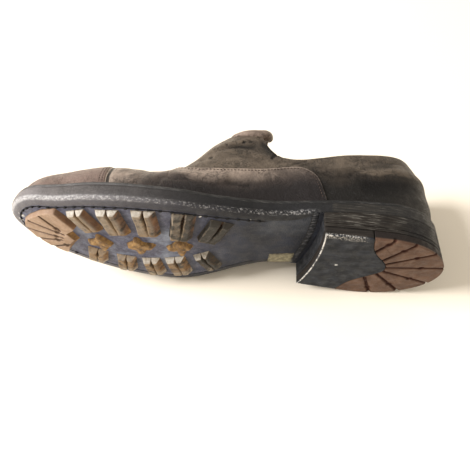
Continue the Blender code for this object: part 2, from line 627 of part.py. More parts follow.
def lay_down(parts, cutters):
    """Lay the shoe on its inner side, toe at -x, lowest point on z = 0 and box centred on x and y."""
    square = Matrix(((-1, 0, 0), (0, 0, 1), (0, 1, 0))).to_4x4()
    roll = Matrix.Rotation(math.radians(LEAN_ROLL_DEG), 4, "X")
    pitch = Matrix.Rotation(math.radians(LEAN_PITCH_DEG), 4, "Y")
    turn = pitch @ roll @ square
    view = bpy.context.evaluated_depsgraph_get()
    points = []
    for piece in parts.objects:
        mesh = piece.evaluated_get(view).to_mesh()
        co = np.empty(len(mesh.vertices) * 3)
        mesh.vertices.foreach_get("co", co)
        points.append(co.reshape(-1, 3))
    points = np.concatenate(points) @ np.array(turn.to_3x3()).T
    low = points.min(axis=0)
    high = points.max(axis=0)
    frame = bpy.data.objects.new("shoe_frame", None)
    parts.objects.link(frame)
    frame.rotation_euler = turn.to_euler()
    frame.location = (-(low[0] + high[0]) / 2, -(low[1] + high[1]) / 2, -low[2])
    for piece in list(parts.objects) + list(cutters.objects):
        if piece is not frame:
            piece.parent = frame


def main():
    for old in list(bpy.data.objects):
        bpy.data.objects.remove(old, do_unlink=True)
    parts = bpy.data.collections.new("left_shoe")
    cutters = bpy.data.collections.new("left_shoe_cutters")
    for collection in (parts, cutters):
        bpy.context.scene.collection.children.link(collection)
    build_upper(parts, cutters)
    build_overlays(parts, cutters)
    build_tongue(parts)
    build_sole(parts)
    build_heel(parts, cutters)
    build_tread(parts)
    bpy.context.view_layer.update()
    lay_down(parts, cutters)


main()
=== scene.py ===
"""Looks of the left cap-toe town shoe: creased leather, sewn seams, a worn sole and soft light.

Shapes are worked out in the shoe's own frame, in millimetres, as in the part: x runs from the back of
the heel to the toe, y to the outer side of the foot and z up from the ground. to_world lays them down.
"""
from collections import namedtuple
import math

import bpy
import numpy as np
from mathutils import Matrix


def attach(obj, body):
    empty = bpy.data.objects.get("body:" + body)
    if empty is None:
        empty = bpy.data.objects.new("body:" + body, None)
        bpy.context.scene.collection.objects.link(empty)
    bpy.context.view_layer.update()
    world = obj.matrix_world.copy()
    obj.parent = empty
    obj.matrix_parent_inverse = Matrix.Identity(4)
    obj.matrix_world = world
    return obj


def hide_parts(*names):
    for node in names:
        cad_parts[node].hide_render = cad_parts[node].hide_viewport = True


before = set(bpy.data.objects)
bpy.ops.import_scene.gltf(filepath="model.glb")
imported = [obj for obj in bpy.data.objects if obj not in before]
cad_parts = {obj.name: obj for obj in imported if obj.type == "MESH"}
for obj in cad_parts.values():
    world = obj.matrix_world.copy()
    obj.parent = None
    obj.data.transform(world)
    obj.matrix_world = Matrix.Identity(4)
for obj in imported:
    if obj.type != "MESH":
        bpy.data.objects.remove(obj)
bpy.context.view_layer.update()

MM = 0.001
RIGHT_ANGLE = math.pi / 2

# How the shoe lies: turned from lying square, and where its own origin comes to, in metres
LEAN_ROLL = math.radians(0.55)
LEAN_PITCH = math.radians(10.77)
SHOE_ORIGIN = np.array([0.151601, -0.061625, 0.032167])

# Sole and last, as in the part
HEEL_BACK, HEEL_ROUND, TOE_ROUND, TOE_TIP = -8.2, 45.0, 276.0, 313.0
SIDE_RUN = TOE_ROUND - HEEL_ROUND
COUNTER_OUTER, COUNTER_INNER, COUNTER_BACK, COUNTER_TURN = 2.0, 0.0, 0.8, 0.25
GAP = 0.3
WALL = 2.0
VAMP_THICK = 1.2
CAP_THICK = 1.8
WELT_THICK = 3.0
WELT_INSET = 0.6
WELT_RUN_IN = 13.0        # how far the welt runs in under the upper
SOLE_GAP = 0.05           # between outsole and its neighbours above and below
# Grid of the vamp along x: its rear, the end of the close columns there, where it begins to slant, its front
VAMP_REAR, VAMP_CURVE, VAMP_SLANT, VAMP_FRONT = 85.9, 96.0, 205.0, 240.0
CAP_LENGTH = 75.0         # about, from its edge to the toe tip
TONGUE_THICK, TONGUE_HALF, TONGUE_FRONT = 2.2, 19.0, 206.0
# Share of its half width that the flap loses towards its top, on the outer and the inner side
TONGUE_NARROW = 0.26, 0.42
TONGUE_COLUMNS = 61
TONGUE_KICK_FROM, TONGUE_BEND, TONGUE_KICK = 131.4, 127.0, 4.5
ROLL_RADIUS, ROLL_TURN = 3.2, math.radians(200)
# Lip where the rolled top turns out over the corner of the facing: middle line and radius
LIP = [(122.6, 3.0, 113.0, 2.6), (122.9, 7.5, 110.2, 3.4), (124.2, 11.5, 107.0, 4.3),
       (127.4, 15.4, 104.2, 4.5), (132.0, 16.8, 103.0, 4.0), (137.4, 16.8, 102.8, 3.3),
       (143.4, 15.6, 103.0, 2.5), (149.4, 13.0, 103.0, 1.7), (154.5, 9.6, 103.4, 0.7)]
LIP_CLOSING = 0.7         # share of the first and last run over which the lip draws in to a point
# Fold of the tongue from that lip over to the flap
SHEET_END, SHEET_SINK, SHEET_CROWN = 1.0, 0.4, 5.8
THROAT_FRONT, THROAT_HALF = 190.0, 11.0
BREAST, BREAST_HOLLOW = 89.0, 4.0
WAIST_FROM, WAIST_RUN = 91.0, 18.0
TOP_PIECE, LIFT_LINE = 7.0, 10.0
LUG_HEIGHT, LUG_DRAFT = 4.2, 1.3

Station = namedtuple("Station", "x swing half under welt lip ridge_y ridge broad tall sag")
STATIONS = [
    Station(-6, 0.0, 39.8, 23.0, 34.0, 1.8, 0, 116, 3.2, 2.1, 0),
    Station(45, 0.0, 39.8, 21.0, 32.0, 2.0, 0, 121, 3.0, 2.1, 4.3),
    Station(90, 0.0, 37.3, 18.2, 28.8, 3.0, -1, 121, 2.5, 2.0, 5.0),
    Station(120, -2.6, 37.4, 14.1, 25.3, 4.0, -2, 121, 2.2, 1.9, 5.0),
    Station(145, -6.7, 44.5, 10.2, 21.5, 5.0, -3, 115, 2.0, 1.8, 4.0),
    Station(170, -11.5, 53.2, 6.8, 18.7, 6.0, -5, 93, 1.9, 1.8, 3.0),
    Station(182, -11.8, 55.4, 5.5, 17.9, 6.3, -6.5, 73, 1.95, 1.85, 2.5),
    Station(195, -11.6, 55.9, 4.7, 17.4, 6.5, -8, 58, 2.0, 1.9, 2.0),
    Station(225, -11.2, 52.6, 4.7, 18.2, 6.5, -10, 54.5, 2.1, 2.0, 0.5),
    Station(250, -12.6, 46.7, 6.7, 20.0, 6.5, -12, 52, 2.2, 2.1, 0),
    Station(275, -15.1, 38.2, 10.5, 22.9, 6.5, -15, 47.5, 2.3, 2.2, 0),
    Station(300, -18.2, 31.5, 16.3, 26.0, 6.5, -18, 43.5, 2.3, 2.2, 0),
    Station(313, -22.0, 24.0, 20.4, 28.0, 6.5, -22, 41.5, 2.3, 2.2, 0),
]
# Lower edge of the outsole from its flat to its side: inset and rise ahead of the heel, then over it
SOLE_EDGE = np.array([(9.0, 0.0, 4.0, 0.0), (4.0, 0.5, 1.5, 0.0), (1.4, 1.9, 0.4, 0.0),
                      (0.3, 3.6, 0.0, 0.4), (0.0, 5.2, 0.0, 2.0)])
# Side view of openings and overlays: x and height
COLLAR = [(-14, 91), (6, 90), (22, 86), (40, 82), (56, 80), (72, 77), (88, 73), (100, 71), (110, 71.5),
          (117, 75), (123, 82), (127.5, 92), (130, 101), (133, 112), (138, 126)]
SEAM = [(84, 20), (86, 30), (89, 45), (94, 55.5), (102, 60.5), (115, 59.5), (130, 55.5), (150, 50.5),
        (170, 46.5), (181, 45.5), (188, 48), (194, 54), (199, 66)]
CAP_EDGE = [(233, 15), (235, 27), (236, 38), (237, 52), (238, 70)]
# Bar lugs: outer and inner end of the middle line of the tread face, its width, how dirty it is and how
# white its end that faces up as it lies is painted, worn pale and painted lit
Lug = namedtuple("Lug", "x_edge y_edge x_mid y_mid width dirt white")
OUTER_LUGS = [
    Lug(253.2, 17.6, 243.0, -0.4, 13.0, 0.15, 0.8),
    Lug(231.0, 25.7, 224.8, 1.7, 14.0, 0.3, 1.0),
    Lug(207.2, 30.8, 204.0, 5.2, 13.4, 0.55, 0.7),
    Lug(181.1, 31.0, 183.0, 2.6, 13.6, 1.15, 0.15),
    Lug(155.6, 23.6, 163.6, 0.6, 15.0, 1.75, 0.1),
]
INNER_LUGS = [
    Lug(248.0, -46.0, 245.9, -30.8, 12.8, 0.25, 0.2),
    Lug(224.4, -51.5, 224.3, -33.2, 12.6, 0.4, 0.3),
    Lug(200.5, -53.5, 205.2, -32.2, 12.0, 0.5, 0.8),
    Lug(180.0, -51.0, 186.9, -27.6, 13.4, 0.65, 1.0),
    Lug(155.0, -40.6, 166.8, -20.0, 11.0, 1.4, 0.9),
]
Star = namedtuple("Star", "x y reach waist dirt")
CENTRE_LUGS = [Star(240.6, -16.8, 10.0, 6.0, 0.1), Star(212.4, -13.0, 10.8, 6.2, 0.15),
               Star(182.8, -9.5, 10.0, 6.0, 0.25)]
STAR_TURN = math.radians(-11)
TOE_HUB = (271.0, -14.0)
TOE_OUTLINE = [(299.5, -20.0), (297.9, -12.0), (291.1, -3.0), (279.9, 8.0), (268.2, 14.8), (261.0, 7.0),
               (255.2, 0.0), (262.5, -9.5), (257.8, -19.0), (263.5, -28.0), (270.4, -41.9), (283.2, -38.0),
               (294.0, -30.5)]
Groove = namedtuple("Groove", "x_in y_in x_out y_out")
TOE_GROOVES = [Groove(269.5, -8.9, 280.8, 3.5), Groove(267.7, -13.2, 292.2, -8.1),
               Groove(269.6, -18.6, 297.2, -20.4), Groove(271.3, -22.8, 291.7, -31.2),
               Groove(266.3, -27.0, 282.6, -38.4)]
# Grooves of the toe plate and the heel rubber: half width, depth and where along them they swell
GrooveCut = namedtuple("GrooveCut", "half depth knob")
TOE_CUT, HEEL_CUT = GrooveCut(1.3, 1.0, 0.18), GrooveCut(1.2, 1.7, 0.55)
HEEL_SPLIT = [(56.5, 39.5), (52, 27), (43, 16), (35.5, 8), (33.2, 0), (37, -6.5), (45, -15.2),
              (52.7, -26.5), (56.5, -39.5)]
HEEL_GROOVES = [Groove(50.5, 22.0, 41.0, 45.0), Groove(40.0, 14.0, 25.5, 42.0),
                Groove(36.0, 9.0, 5.5, 33.5), Groove(34.5, 3.9, -10.0, 14.6),
                Groove(34.5, -1.0, -10.0, -12.4), Groove(36.5, -5.8, 7.0, -31.0),
                Groove(42.0, -14.0, 26.5, -42.0)]

# Creases of the upper in side view: a path of x and height, half width, depth (raised if below zero),
# and how dark it is painted: painted shade in the fold, a painted highlight if below zero
Crease = namedtuple("Crease", "path half depth shade")
CREASES = [
    # fold under the lace holes, with the roll above it
    Crease([(176, 60), (166.4, 71.5), (159.2, 77.5), (146, 82.5), (138, 84)], 3.0, 1.4, 0.34),
    Crease([(149, 79), (141, 80), (134, 79), (127, 77)], 10.0, 0.5, 0.6),
    Crease([(136, 90), (128, 86), (123, 78)], 4.5, 0.3, 0.3),
    Crease([(172, 67), (163, 79.5), (152, 88.5), (142, 93.5), (134, 97)], 3.4, -1.1, -0.45),
    Crease([(163, 72), (152, 76.5), (141, 76), (133, 72)], 3.0, -0.6, -0.1),
    Crease([(160, 64), (150, 68), (140, 67.5), (131, 64)], 3.5, 0.7, 0.3),
    Crease([(131, 94), (127.5, 86), (122, 78), (115, 73)], 3.0, 0.8, 0.5),
    Crease([(150, 92.5), (143, 97.5), (136, 100.5)], 1.5, 0.6, 0.4),
    # wavy fold along the vamp above the welt, and the roll over it
    Crease([(200, 24), (199.5, 29), (197, 32.2), (190.3, 29.9), (183.9, 31.7), (170.4, 31.9), (163.5, 30.9),
            (155, 33.6), (140, 37)], 2.0, 0.9, 0.36),
    Crease([(198, 37), (186, 36), (172, 37), (158, 39)], 3.4, -0.7, -0.2),
    Crease([(150, 38), (136, 41), (122, 44), (110, 47)], 6.0, 0.9, 0.2),
    # wrinkles of the quarter behind the vamp
    Crease([(91.6, 57.9), (86.1, 55.1), (79.8, 53.5), (73.3, 54.6), (67.6, 53.7), (62.6, 59.4), (55.5, 62.3)],
           1.7, 0.8, 0.4),
    Crease([(90, 63), (82, 60.5), (74, 61), (66, 63.5)], 2.4, -0.8, -0.2),
    Crease([(84, 47), (76, 46), (69, 48)], 1.8, 0.5, 0.3),
    Crease([(108, 64.5), (103, 66.5), (98, 69)], 1.3, 0.6, 0.5),
    Crease([(101, 63.5), (95, 66), (90, 70)], 1.3, 0.5, 0.4),
    Crease([(118, 66), (110, 68), (104, 67)], 1.5, 0.5, 0.3),
    Crease([(62.5, 34), (62, 44), (63.5, 53)], 1.0, -0.3, -0.25),
    # shelf over the heel counter with a painted highlight, and the hollow under it with painted shade
    Crease([(60, 61), (46, 59.5), (39, 62), (32, 63.5), (23, 65), (12, 68), (0, 69)], 4.4, -1.2, -0.75),
    Crease([(54, 47), (42, 49), (30, 49), (18, 52), (4, 54)], 7.5, 1.8, 0.85),
    Crease([(48, 38), (34, 38), (20, 40), (6, 42)], 13.0, 0.3, 0.5),
    Crease([(48, 72), (36, 73), (24, 76)], 2.0, 0.6, 0.3),
    # cut at the front of the collar
    Crease([(124, 70), (121.5, 74.5), (118.5, 77)], 0.7, 0.8, 1.0),
    # gap behind the edge of the cap, with a painted shadow in it
    Crease([(232.4, 17), (233.8, 27), (234.4, 38), (235, 52), (235.6, 66)], 0.65, 0.5, 3.0),
    # thin line across the cap
    Crease([(256.5, 31), (256, 36), (254.5, 41)], 0.7, 0.4, 0.6),
    # bends across the front of the vamp
    Crease([(214, 22), (212, 34), (209, 46), (207, 60)], 3.0, 0.5, 0.15),
    Crease([(224, 24), (222, 36), (220, 50)], 3.4, 0.4, 0.1),
]
# Height at which the leather turns from dark to a painted sheen, lighter over it, along the shoe
SHEEN_LINE = [(-14, 60), (12, 60), (24, 60.5), (34, 60), (46, 56.5), (58, 55), (68, 52.5), (78, 51.5),
             (88, 52), (97, 49), (104, 50), (112, 48), (122, 45), (133, 41), (143, 38), (154, 36),
             (170, 32.5), (190, 30.5), (200, 26), (212, 19), (235, 8), (320, 0)]
# Lace holes in side view: x, height and how plain they show; then their half width, depth and shade
LACE_HOLES = [(168.8, 62.9, 0.9), (158.1, 83.0, 0.55), (144.8, 88.6, 1.0), (139.3, 90.8, 0.4)]
LACE_HOLE_HALF, LACE_HOLE_DEPTH, LACE_HOLE_SHADE = 1.5, 1.2, 1.5
# The same creases on the inner side: shift in x and height, and strength
INNER_SHIFT, INNER_STRENGTH = (4.0, 2.0), 0.7


def curve_through(xs, ys):
    """Natural cubic spline through the given points, as a function of x."""
    xs = np.asarray(xs, float)
    ys = np.asarray(ys, float)
    step = np.diff(xs)
    count = len(xs)
    system = np.eye(count)
    right = np.zeros(count)
    for k in range(1, count - 1):
        system[k, k - 1:k + 2] = step[k - 1], 2 * (step[k - 1] + step[k]), step[k]
        right[k] = 6 * ((ys[k + 1] - ys[k]) / step[k] - (ys[k] - ys[k - 1]) / step[k - 1])
    bend = np.linalg.solve(system, right)

    def value(x):
        x = np.clip(np.asarray(x, float), xs[0], xs[-1])
        k = np.clip(np.searchsorted(xs, x) - 1, 0, count - 2)
        after = x - xs[k]
        before = xs[k + 1] - x
        cubic = (bend[k] * before ** 3 + bend[k + 1] * after ** 3) / (6 * step[k])
        low = (ys[k] / step[k] - bend[k] * step[k] / 6) * before
        high = (ys[k + 1] / step[k] - bend[k + 1] * step[k] / 6) * after
        return cubic + low + high
    return value


def smooth_path(points, count):
    """A number of points, evenly spaced, on a smooth curve through the given corners."""
    points = np.asarray(points, float)
    run = np.concatenate([[0], np.cumsum(np.linalg.norm(np.diff(points, axis=0), axis=1))])
    ts = np.linspace(0, run[-1], count)
    return np.stack([curve_through(run, points[:, axis])(ts) for axis in range(points.shape[1])], axis=1)


def column(name):
    """One column of the station table as a smooth function of x."""
    return curve_through([row.x for row in STATIONS], [getattr(row, name) for row in STATIONS])


swing, half, under, welt_top, lip = map(column, ("swing", "half", "under", "welt", "lip"))
ridge_y, ridge, broad, tall, sag = map(column, ("ridge_y", "ridge", "broad", "tall", "sag"))
collar_height = curve_through(*np.array(COLLAR).T)
seam_height = curve_through(*np.array(SEAM).T)
cap_x = curve_through(*np.array(CAP_EDGE).T[::-1])
sheen_line = curve_through(*np.array(SHEEN_LINE).T)


def smoothstep(value, low, high):
    """0 below low, 1 above high, a soft step between."""
    share = np.clip((value - low) / (high - low), 0, 1)
    return share * share * (3 - 2 * share)


def ripple(a, b, size, seed):
    """Smooth uneven waves between -1 and 1: three crossed sine waves of about the given size."""
    k = 2 * math.pi / size
    waves = np.sin(k * a + 1.7 * seed) * np.sin(0.83 * k * b + 2.3 * seed)
    waves = waves + np.sin(0.61 * k * (a + b) + 4.1 * seed) + np.sin(0.47 * k * (a - 1.3 * b) + 0.9 * seed)
    return waves / 3


def to_path(a, b, path):
    """Distance of each point from a line of straight runs: the least of the distances to its runs."""
    best = np.full(np.shape(a), np.inf)
    for (a0, b0), (a1, b1) in zip(path[:-1], path[1:]):
        run = np.array([a1 - a0, b1 - b0])
        share = np.clip(((a - a0) * run[0] + (b - b0) * run[1]) / (run @ run), 0, 1)
        best = np.minimum(best, np.hypot(a - a0 - share * run[0], b - b0 - share * run[1]))
    return best


def lying():
    """Turn from the shoe's own frame to lying on its inner side."""
    square = np.array([(-1.0, 0, 0), (0, 0, 1), (0, 1, 0)])
    cr, sr = math.cos(LEAN_ROLL), math.sin(LEAN_ROLL)
    cp, sp = math.cos(LEAN_PITCH), math.sin(LEAN_PITCH)
    roll = np.array([(1, 0, 0), (0, cr, -sr), (0, sr, cr)])
    pitch = np.array([(cp, 0, sp), (0, 1, 0), (-sp, 0, cp)])
    return pitch @ roll @ square


LYING = lying()


def to_world(points):
    """Points of the shoe's frame in millimetres as places in the row frame in metres."""
    return np.asarray(points) @ LYING.T * MM + SHOE_ORIGIN


def grid_triangles(rows, columns, wrap_rows=False, wrap_columns=False, start=0):
    """Triangles of a grid of points numbered row by row, two to a cell."""
    index = start + np.arange(rows * columns).reshape(rows, columns)
    if wrap_rows:
        index = np.vstack([index, index[:1]])
    if wrap_columns:
        index = np.hstack([index, index[:, :1]])
    a, b, c, d = index[:-1, :-1], index[:-1, 1:], index[1:, 1:], index[1:, :-1]
    return np.stack([np.stack([a, b, c], -1), np.stack([a, c, d], -1)], 2).reshape(-1, 3)


def strip(loop, count):
    """Triangles of the wall between a loop of points and its copy, numbered count further on."""
    a, b = loop[:-1], loop[1:]
    return np.concatenate([np.column_stack([a, a + count, b + count]), np.column_stack([a, b + count, b])])


def rim_of(rows, columns):
    """Numbers of the points round a grid, back to the first."""
    index = np.arange(rows * columns).reshape(rows, columns)
    return np.concatenate([index[0], index[1:, -1], index[-1, -2::-1], index[-2::-1, 0]])


def piece(name, points, triangles, paint, slot, replaces=(), **marks):
    """Closed mesh piece from points in the shoe's frame; equal points become one, none goes under the floor.

    marks are values per point kept as attributes, next to "shoe", the point's own coordinates.
    """
    points = np.asarray(points, float).reshape(-1, 3)
    _, first, same = np.unique(np.round(points, 3), axis=0, return_index=True, return_inverse=True)
    triangles = same.reshape(-1)[triangles]
    a, b, c = triangles.T
    triangles = triangles[(a != b) & (b != c) & (c != a)]
    corners = points[first]
    p, q, r = (corners[triangles[:, k]] for k in range(3))
    if np.einsum("ij,ij->", p, np.cross(q, r)) < 0:
        triangles = triangles[:, ::-1]
    mesh = bpy.data.meshes.new(name)
    mesh.vertices.add(len(corners))
    place = np.maximum(to_world(corners), [-np.inf, -np.inf, 0.0])
    mesh.vertices.foreach_set("co", place.astype(np.float32).ravel())
    mesh.loops.add(triangles.size)
    mesh.loops.foreach_set("vertex_index", np.ascontiguousarray(triangles, np.int32).ravel())
    mesh.polygons.add(len(triangles))
    mesh.polygons.foreach_set("loop_start", np.arange(0, triangles.size, 3, dtype=np.int32))
    mesh.polygons.foreach_set("use_smooth", np.ones(len(triangles), bool))
    mesh.update(calc_edges=True)
    mesh.validate()
    shoe = mesh.attributes.new("shoe", "FLOAT_VECTOR", "POINT")
    shoe.data.foreach_set("vector", corners.astype(np.float32).ravel())
    for mark, values in marks.items():
        layer = mesh.attributes.new(mark, "FLOAT", "POINT")
        values = np.broadcast_to(np.ravel(values), (len(points),))
        layer.data.foreach_set("value", values[first].astype(np.float32))
    shape = bpy.data.objects.new(name, mesh)
    bpy.context.scene.collection.objects.link(shape)
    mesh.materials.append(paint)
    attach(shape, "root")
    if replaces:
        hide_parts(*replaces)
    return shape


def foot_line(side, s, inset):
    """Outline of the sole, moved in by inset, on one side (1 outer, -1 inner).

    s runs from -1 at the toe tip over 0 and 1, the ends of the straight run, to 2 at the heel's back;
    the two ends are half ellipses, so x goes on with the sine and the width shrinks with the cosine.
    """
    toe = np.clip(-s, 0, 1) * RIGHT_ANGLE
    heel = np.clip(s - 1, 0, 1) * RIGHT_ANGLE
    x = TOE_ROUND - SIDE_RUN * np.clip(s, 0, 1)
    x = x + np.sin(toe) * (TOE_TIP - inset - TOE_ROUND) - np.sin(heel) * (HEEL_ROUND - HEEL_BACK - inset)
    return x, swing(x) + side * np.cos(toe) * np.cos(heel) * (half(x) - inset)


def along_side(x):
    """The value of s at a place on the straight run."""
    return (TOE_ROUND - x) / SIDE_RUN


def last_point(side, s, turn):
    """Point of the last: a superellipse from the feather line (turn 0) to the ridge (a right angle).

    Its distance from the spine in plan shrinks with cos(turn)^(2/broad), its height grows with
    sin(turn)^(2/tall), the lower half of the inner side stands out by up to sag, and the heel counter
    swells out, most at its outer corner, with the square of the turn times a falling exponential.
    """
    sole_x = foot_line(side, s, 0.0)[0]
    foot_x, foot_y = foot_line(side, s, lip(sole_x))
    spine_x = np.clip(foot_x, HEEL_ROUND, TOE_ROUND)
    spine_y = ridge_y(spine_x)
    share = np.clip(np.cos(turn), 0, 1) ** (2 / broad(spine_x))
    rise = np.clip(np.sin(turn), 0, 1) ** (2 / tall(spine_x))
    x = spine_x + share * (foot_x - spine_x)
    y = spine_y + share * (foot_y - spine_y)
    rounding = np.cos(np.clip(-s, 0, 1) * RIGHT_ANGLE) * np.cos(np.clip(s - 1, 0, 1) * RIGHT_ANGLE)
    slack = np.sin(np.minimum(4 * turn, math.pi)) * sag(spine_x) * rounding
    y = y - np.where(side < 0, slack, 0.0)
    back = np.clip((HEEL_ROUND - foot_x) / (HEEL_ROUND - HEEL_BACK - lip(sole_x)), 0, 1)
    beside = np.sqrt(1 - back ** 2)
    corner = np.where(side > 0, COUNTER_OUTER, COUNTER_INNER)
    swell = 2 * corner * back * beside + COUNTER_BACK * back ** 2
    swell = swell * (turn / COUNTER_TURN) ** 2 * np.exp(2 - 2 * turn / COUNTER_TURN)
    x = x - swell * back
    y = y + side * swell * beside
    foot_z = welt_top(foot_x) + GAP
    return np.stack(np.broadcast_arrays(x, y, foot_z + (ridge(x) - foot_z) * rise), -1)


def turn_at(side, s, height):
    """Turn at which the last reaches a height given as a function of x, found by halving."""
    low = np.zeros(np.shape(s))
    high = np.full(np.shape(s), RIGHT_ANGLE)
    for _ in range(40):
        middle = (low + high) / 2
        point = last_point(side, s, middle)
        below = point[..., 2] < height(point[..., 0])
        low = np.where(below, middle, low)
        high = np.where(below, high, middle)
    return np.where(high > ON_RIDGE, RIGHT_ANGLE, low)


def normal_at(side, s, turn):
    """Outward normal of the last, from small steps along s and turn."""
    step = 0.002
    turn = np.clip(turn, step, RIGHT_ANGLE - 2 * step)
    along = last_point(side, s + step, turn) - last_point(side, s - step, turn)
    up = last_point(side, s, turn + step) - last_point(side, s, turn - step)
    normal = np.cross(along, up) * np.asarray(side)[..., None]
    return normal / np.linalg.norm(normal, axis=-1, keepdims=True)


def creases(point, side, turn):
    """(relief, shade) of the leather, the shade being painted shade and below zero a painted highlight: each
    is a soft trough or ridge that falls off with the square of the distance from its path; the inner side has
    the same ones, fainter and shifted."""
    x = point[..., 0] + np.where(side < 0, INNER_SHIFT[0], 0.0)
    z = point[..., 2] + np.where(side < 0, INNER_SHIFT[1], 0.0)
    wander = 0.8 * ripple(x, z, 14, 1)
    relief = 0.25 * ripple(x, z, 31, 2) + 0.12 * ripple(x, z, 13, 3)
    shade = np.zeros_like(x)
    for crease in CREASES:
        near = np.exp(-(to_path(x + wander, z + wander, crease.path) / crease.half) ** 2)
        relief = relief - crease.depth * near
        shade = shade + crease.shade * near
    for hole_x, hole_z, plain in LACE_HOLES:
        away = np.hypot(point[..., 0] - hole_x, point[..., 2] - hole_z)
        near = plain * np.exp(-(away / LACE_HOLE_HALF) ** 4)
        relief = relief - LACE_HOLE_DEPTH * near
        shade = shade + LACE_HOLE_SHADE * near
    weight = np.where(side < 0, INNER_STRENGTH, 1.0) * smoothstep(turn, 0, 0.08)
    weight = weight * smoothstep(RIGHT_ANGLE - turn, 0.0, 0.35)
    off_floor = smoothstep(to_world(point)[..., 2] / MM, 2.5, 7.0)
    return relief * weight * off_floor, shade * weight


# Rows near a cut edge, by their distance from it in millimetres, where the leather is rounded off
EDGE_STEPS = np.array([1.0, 0.55, 0.22, 0.05, 0.0])
MAIN_ROWS = 46
FAR_FROM_EDGE = 99.0
NO_CUT = 999.0            # a height over the ridge, where a layer isn't cut
ON_RIDGE = RIGHT_ANGLE - 1e-6
CAP_LAP = 3.0             # how far the vamp runs on under the cap
OVER_SHEEN_LINE = 30.0     # the tongue has the painted sheen all over


def rows_to(side, s, top):
    """Turns from the feather line up to top, with close rows at the edge."""
    step = 0.004
    low = np.clip(top - step, 0, None)
    pace = np.linalg.norm(last_point(side, s, top) - last_point(side, s, low), axis=-1) / step
    near = np.minimum(EDGE_STEPS / np.maximum(pace, 1.0)[:, None], top[:, None])
    share = np.linspace(0, 1, MAIN_ROWS, endpoint=False)
    return np.concatenate([share * (top[:, None] - near[:, :1]), top[:, None] - near], axis=1)


def rounding_off(distance, reach):
    """Quarter circle from 0 at the edge to 1 at reach."""
    return np.sqrt(np.clip(1 - (1 - np.clip(distance / reach, 0, 1)) ** 2, 0, 1))


def layer_walls(side, s, turn, lifts, closed=False, ends=None, bulge=0.5):
    """Two walls of a leather layer at the given lifts from the last, with their marks.

    Rows go up from the feather line, columns go round the foot, toe to heel on the outer side. Each
    point of the last moves along its normal by the lift and the creases. Towards a cut edge both lifts
    close on the value that lies at the share bulge between them, along a quarter circle. ends is the
    distance from the cut ends.
    """
    side = np.broadcast_to(side[:, None], turn.shape)
    base = last_point(side, s, turn)
    if closed:
        along = np.roll(base, -1, axis=0) - np.roll(base, 1, axis=0)
    else:
        along = np.gradient(base, axis=0)
    normal = np.cross(along, np.gradient(base, axis=1))
    normal[:, 0, 2] = 0.0
    joined = turn[:, -1] > ON_RIDGE
    top_x = base[joined, -1, 0]
    normal[joined, -1] = np.column_stack([ridge(top_x - 0.5) - ridge(top_x + 0.5), 0 * top_x, 1 + 0 * top_x])
    normal /= np.maximum(np.linalg.norm(normal, axis=2, keepdims=True), 1e-9)
    relief, shade = creases(base, side, turn)
    to_edge = np.linalg.norm(base - base[:, -1:], axis=2)
    to_edge = np.where(joined[:, None], FAR_FROM_EDGE, to_edge)
    if ends is not None:
        to_edge = np.minimum(to_edge, ends)
    rest = lifts[0] + bulge * (lifts[1] - lifts[0])
    walls = []
    for lift in lifts:
        height = rest + (lift - rest) * rounding_off(to_edge, EDGE_STEPS[0]) + relief
        wall = base + height[..., None] * normal
        wall[:, 0, 2] = welt_top(wall[:, 0, 0]) + GAP / 2
        walls.append(wall)
    # height over the sheen line, over which the leather gets the painted sheen
    above = base[..., 2] - sheen_line(base[..., 0])
    return walls, {"crease": shade, "edge": to_edge, "above": above}


def lasted_layer(name, parts, paint, slot, replaces, closed=False):
    """Leather layer over the last: the walls of its parts, joined along the foot and at every edge."""
    points, triangles, marks = [], [], {"crease": [], "edge": [], "above": [], "inside": []}
    start = 0
    for walls, values in parts:
        columns, rows = walls[0].shape[:2]
        count = columns * rows
        inner = grid_triangles(columns, rows, wrap_rows=closed)
        outer = grid_triangles(columns, rows, wrap_rows=closed, start=count)[:, ::-1]
        foot = np.arange(columns) * rows
        if closed:
            foot = np.append(foot, 0)
        triangles.append(start + np.concatenate([inner, outer, strip(foot, count)]))
        points += [wall.reshape(-1, 3) for wall in walls]
        for key, value in values.items():
            marks[key] += [value.ravel(), value.ravel()]
        marks["inside"] += [np.ones(count), np.zeros(count)]
        start += 2 * count
    marks = {key: np.concatenate(value) for key, value in marks.items()}
    marks["inside"] = marks["inside"] * smoothstep(marks["edge"], 0.0, 0.5)
    return piece(name, np.concatenate(points), np.concatenate(triangles), paint, slot, replaces, **marks)


def round_the_last(s):
    """Columns round the foot: the outer side along s, then the inner side back, tips shared."""
    side = np.concatenate([np.ones(len(s) - 1), -np.ones(len(s) - 1)])
    return side, np.concatenate([s[:-1], s[:0:-1]])


def round_columns(toe, run, heel):
    """Values of s from the toe tip to the heel's back, so many in the toe, the straight run and the heel."""
    return np.concatenate([np.linspace(-1, 0, toe, endpoint=False), np.linspace(0, 1, run, endpoint=False),
                           np.linspace(1, 2, heel)])


def make_quarters(paint):
    """Upper with its lining, open at the collar and along the throat: every column ends where the last
    meets the collar's height or the edge of the throat, and at the ridge ahead of it."""
    side, s = round_the_last(round_columns(34, 216, 50))

    def collar(x):
        return np.where(x > COLLAR[-1][0], NO_CUT, collar_height(x))

    top = turn_at(side, s, collar)
    foot_x, foot_y = foot_line(side, s, lip(foot_line(side, s, 0.0)[0]))
    nose = THROAT_FRONT - THROAT_HALF
    width = np.sqrt(np.clip(THROAT_HALF ** 2 - np.clip(foot_x - nose, 0, THROAT_HALF) ** 2, 0, None))
    share = np.clip(width / np.abs(foot_y - ridge_y(foot_x)), 0, 1)
    throat = np.arccos(share ** (broad(foot_x) / 2))
    top = np.minimum(top, np.where((s > 0) & (s < 1), throat, RIGHT_ANGLE))
    turn = rows_to(side, s, top)
    walls = layer_walls(side, s[:, None], turn, (-WALL, 0.0), closed=True)
    return lasted_layer("quarters", [walls], paint, "upper_leather", ("upper",), closed=True)


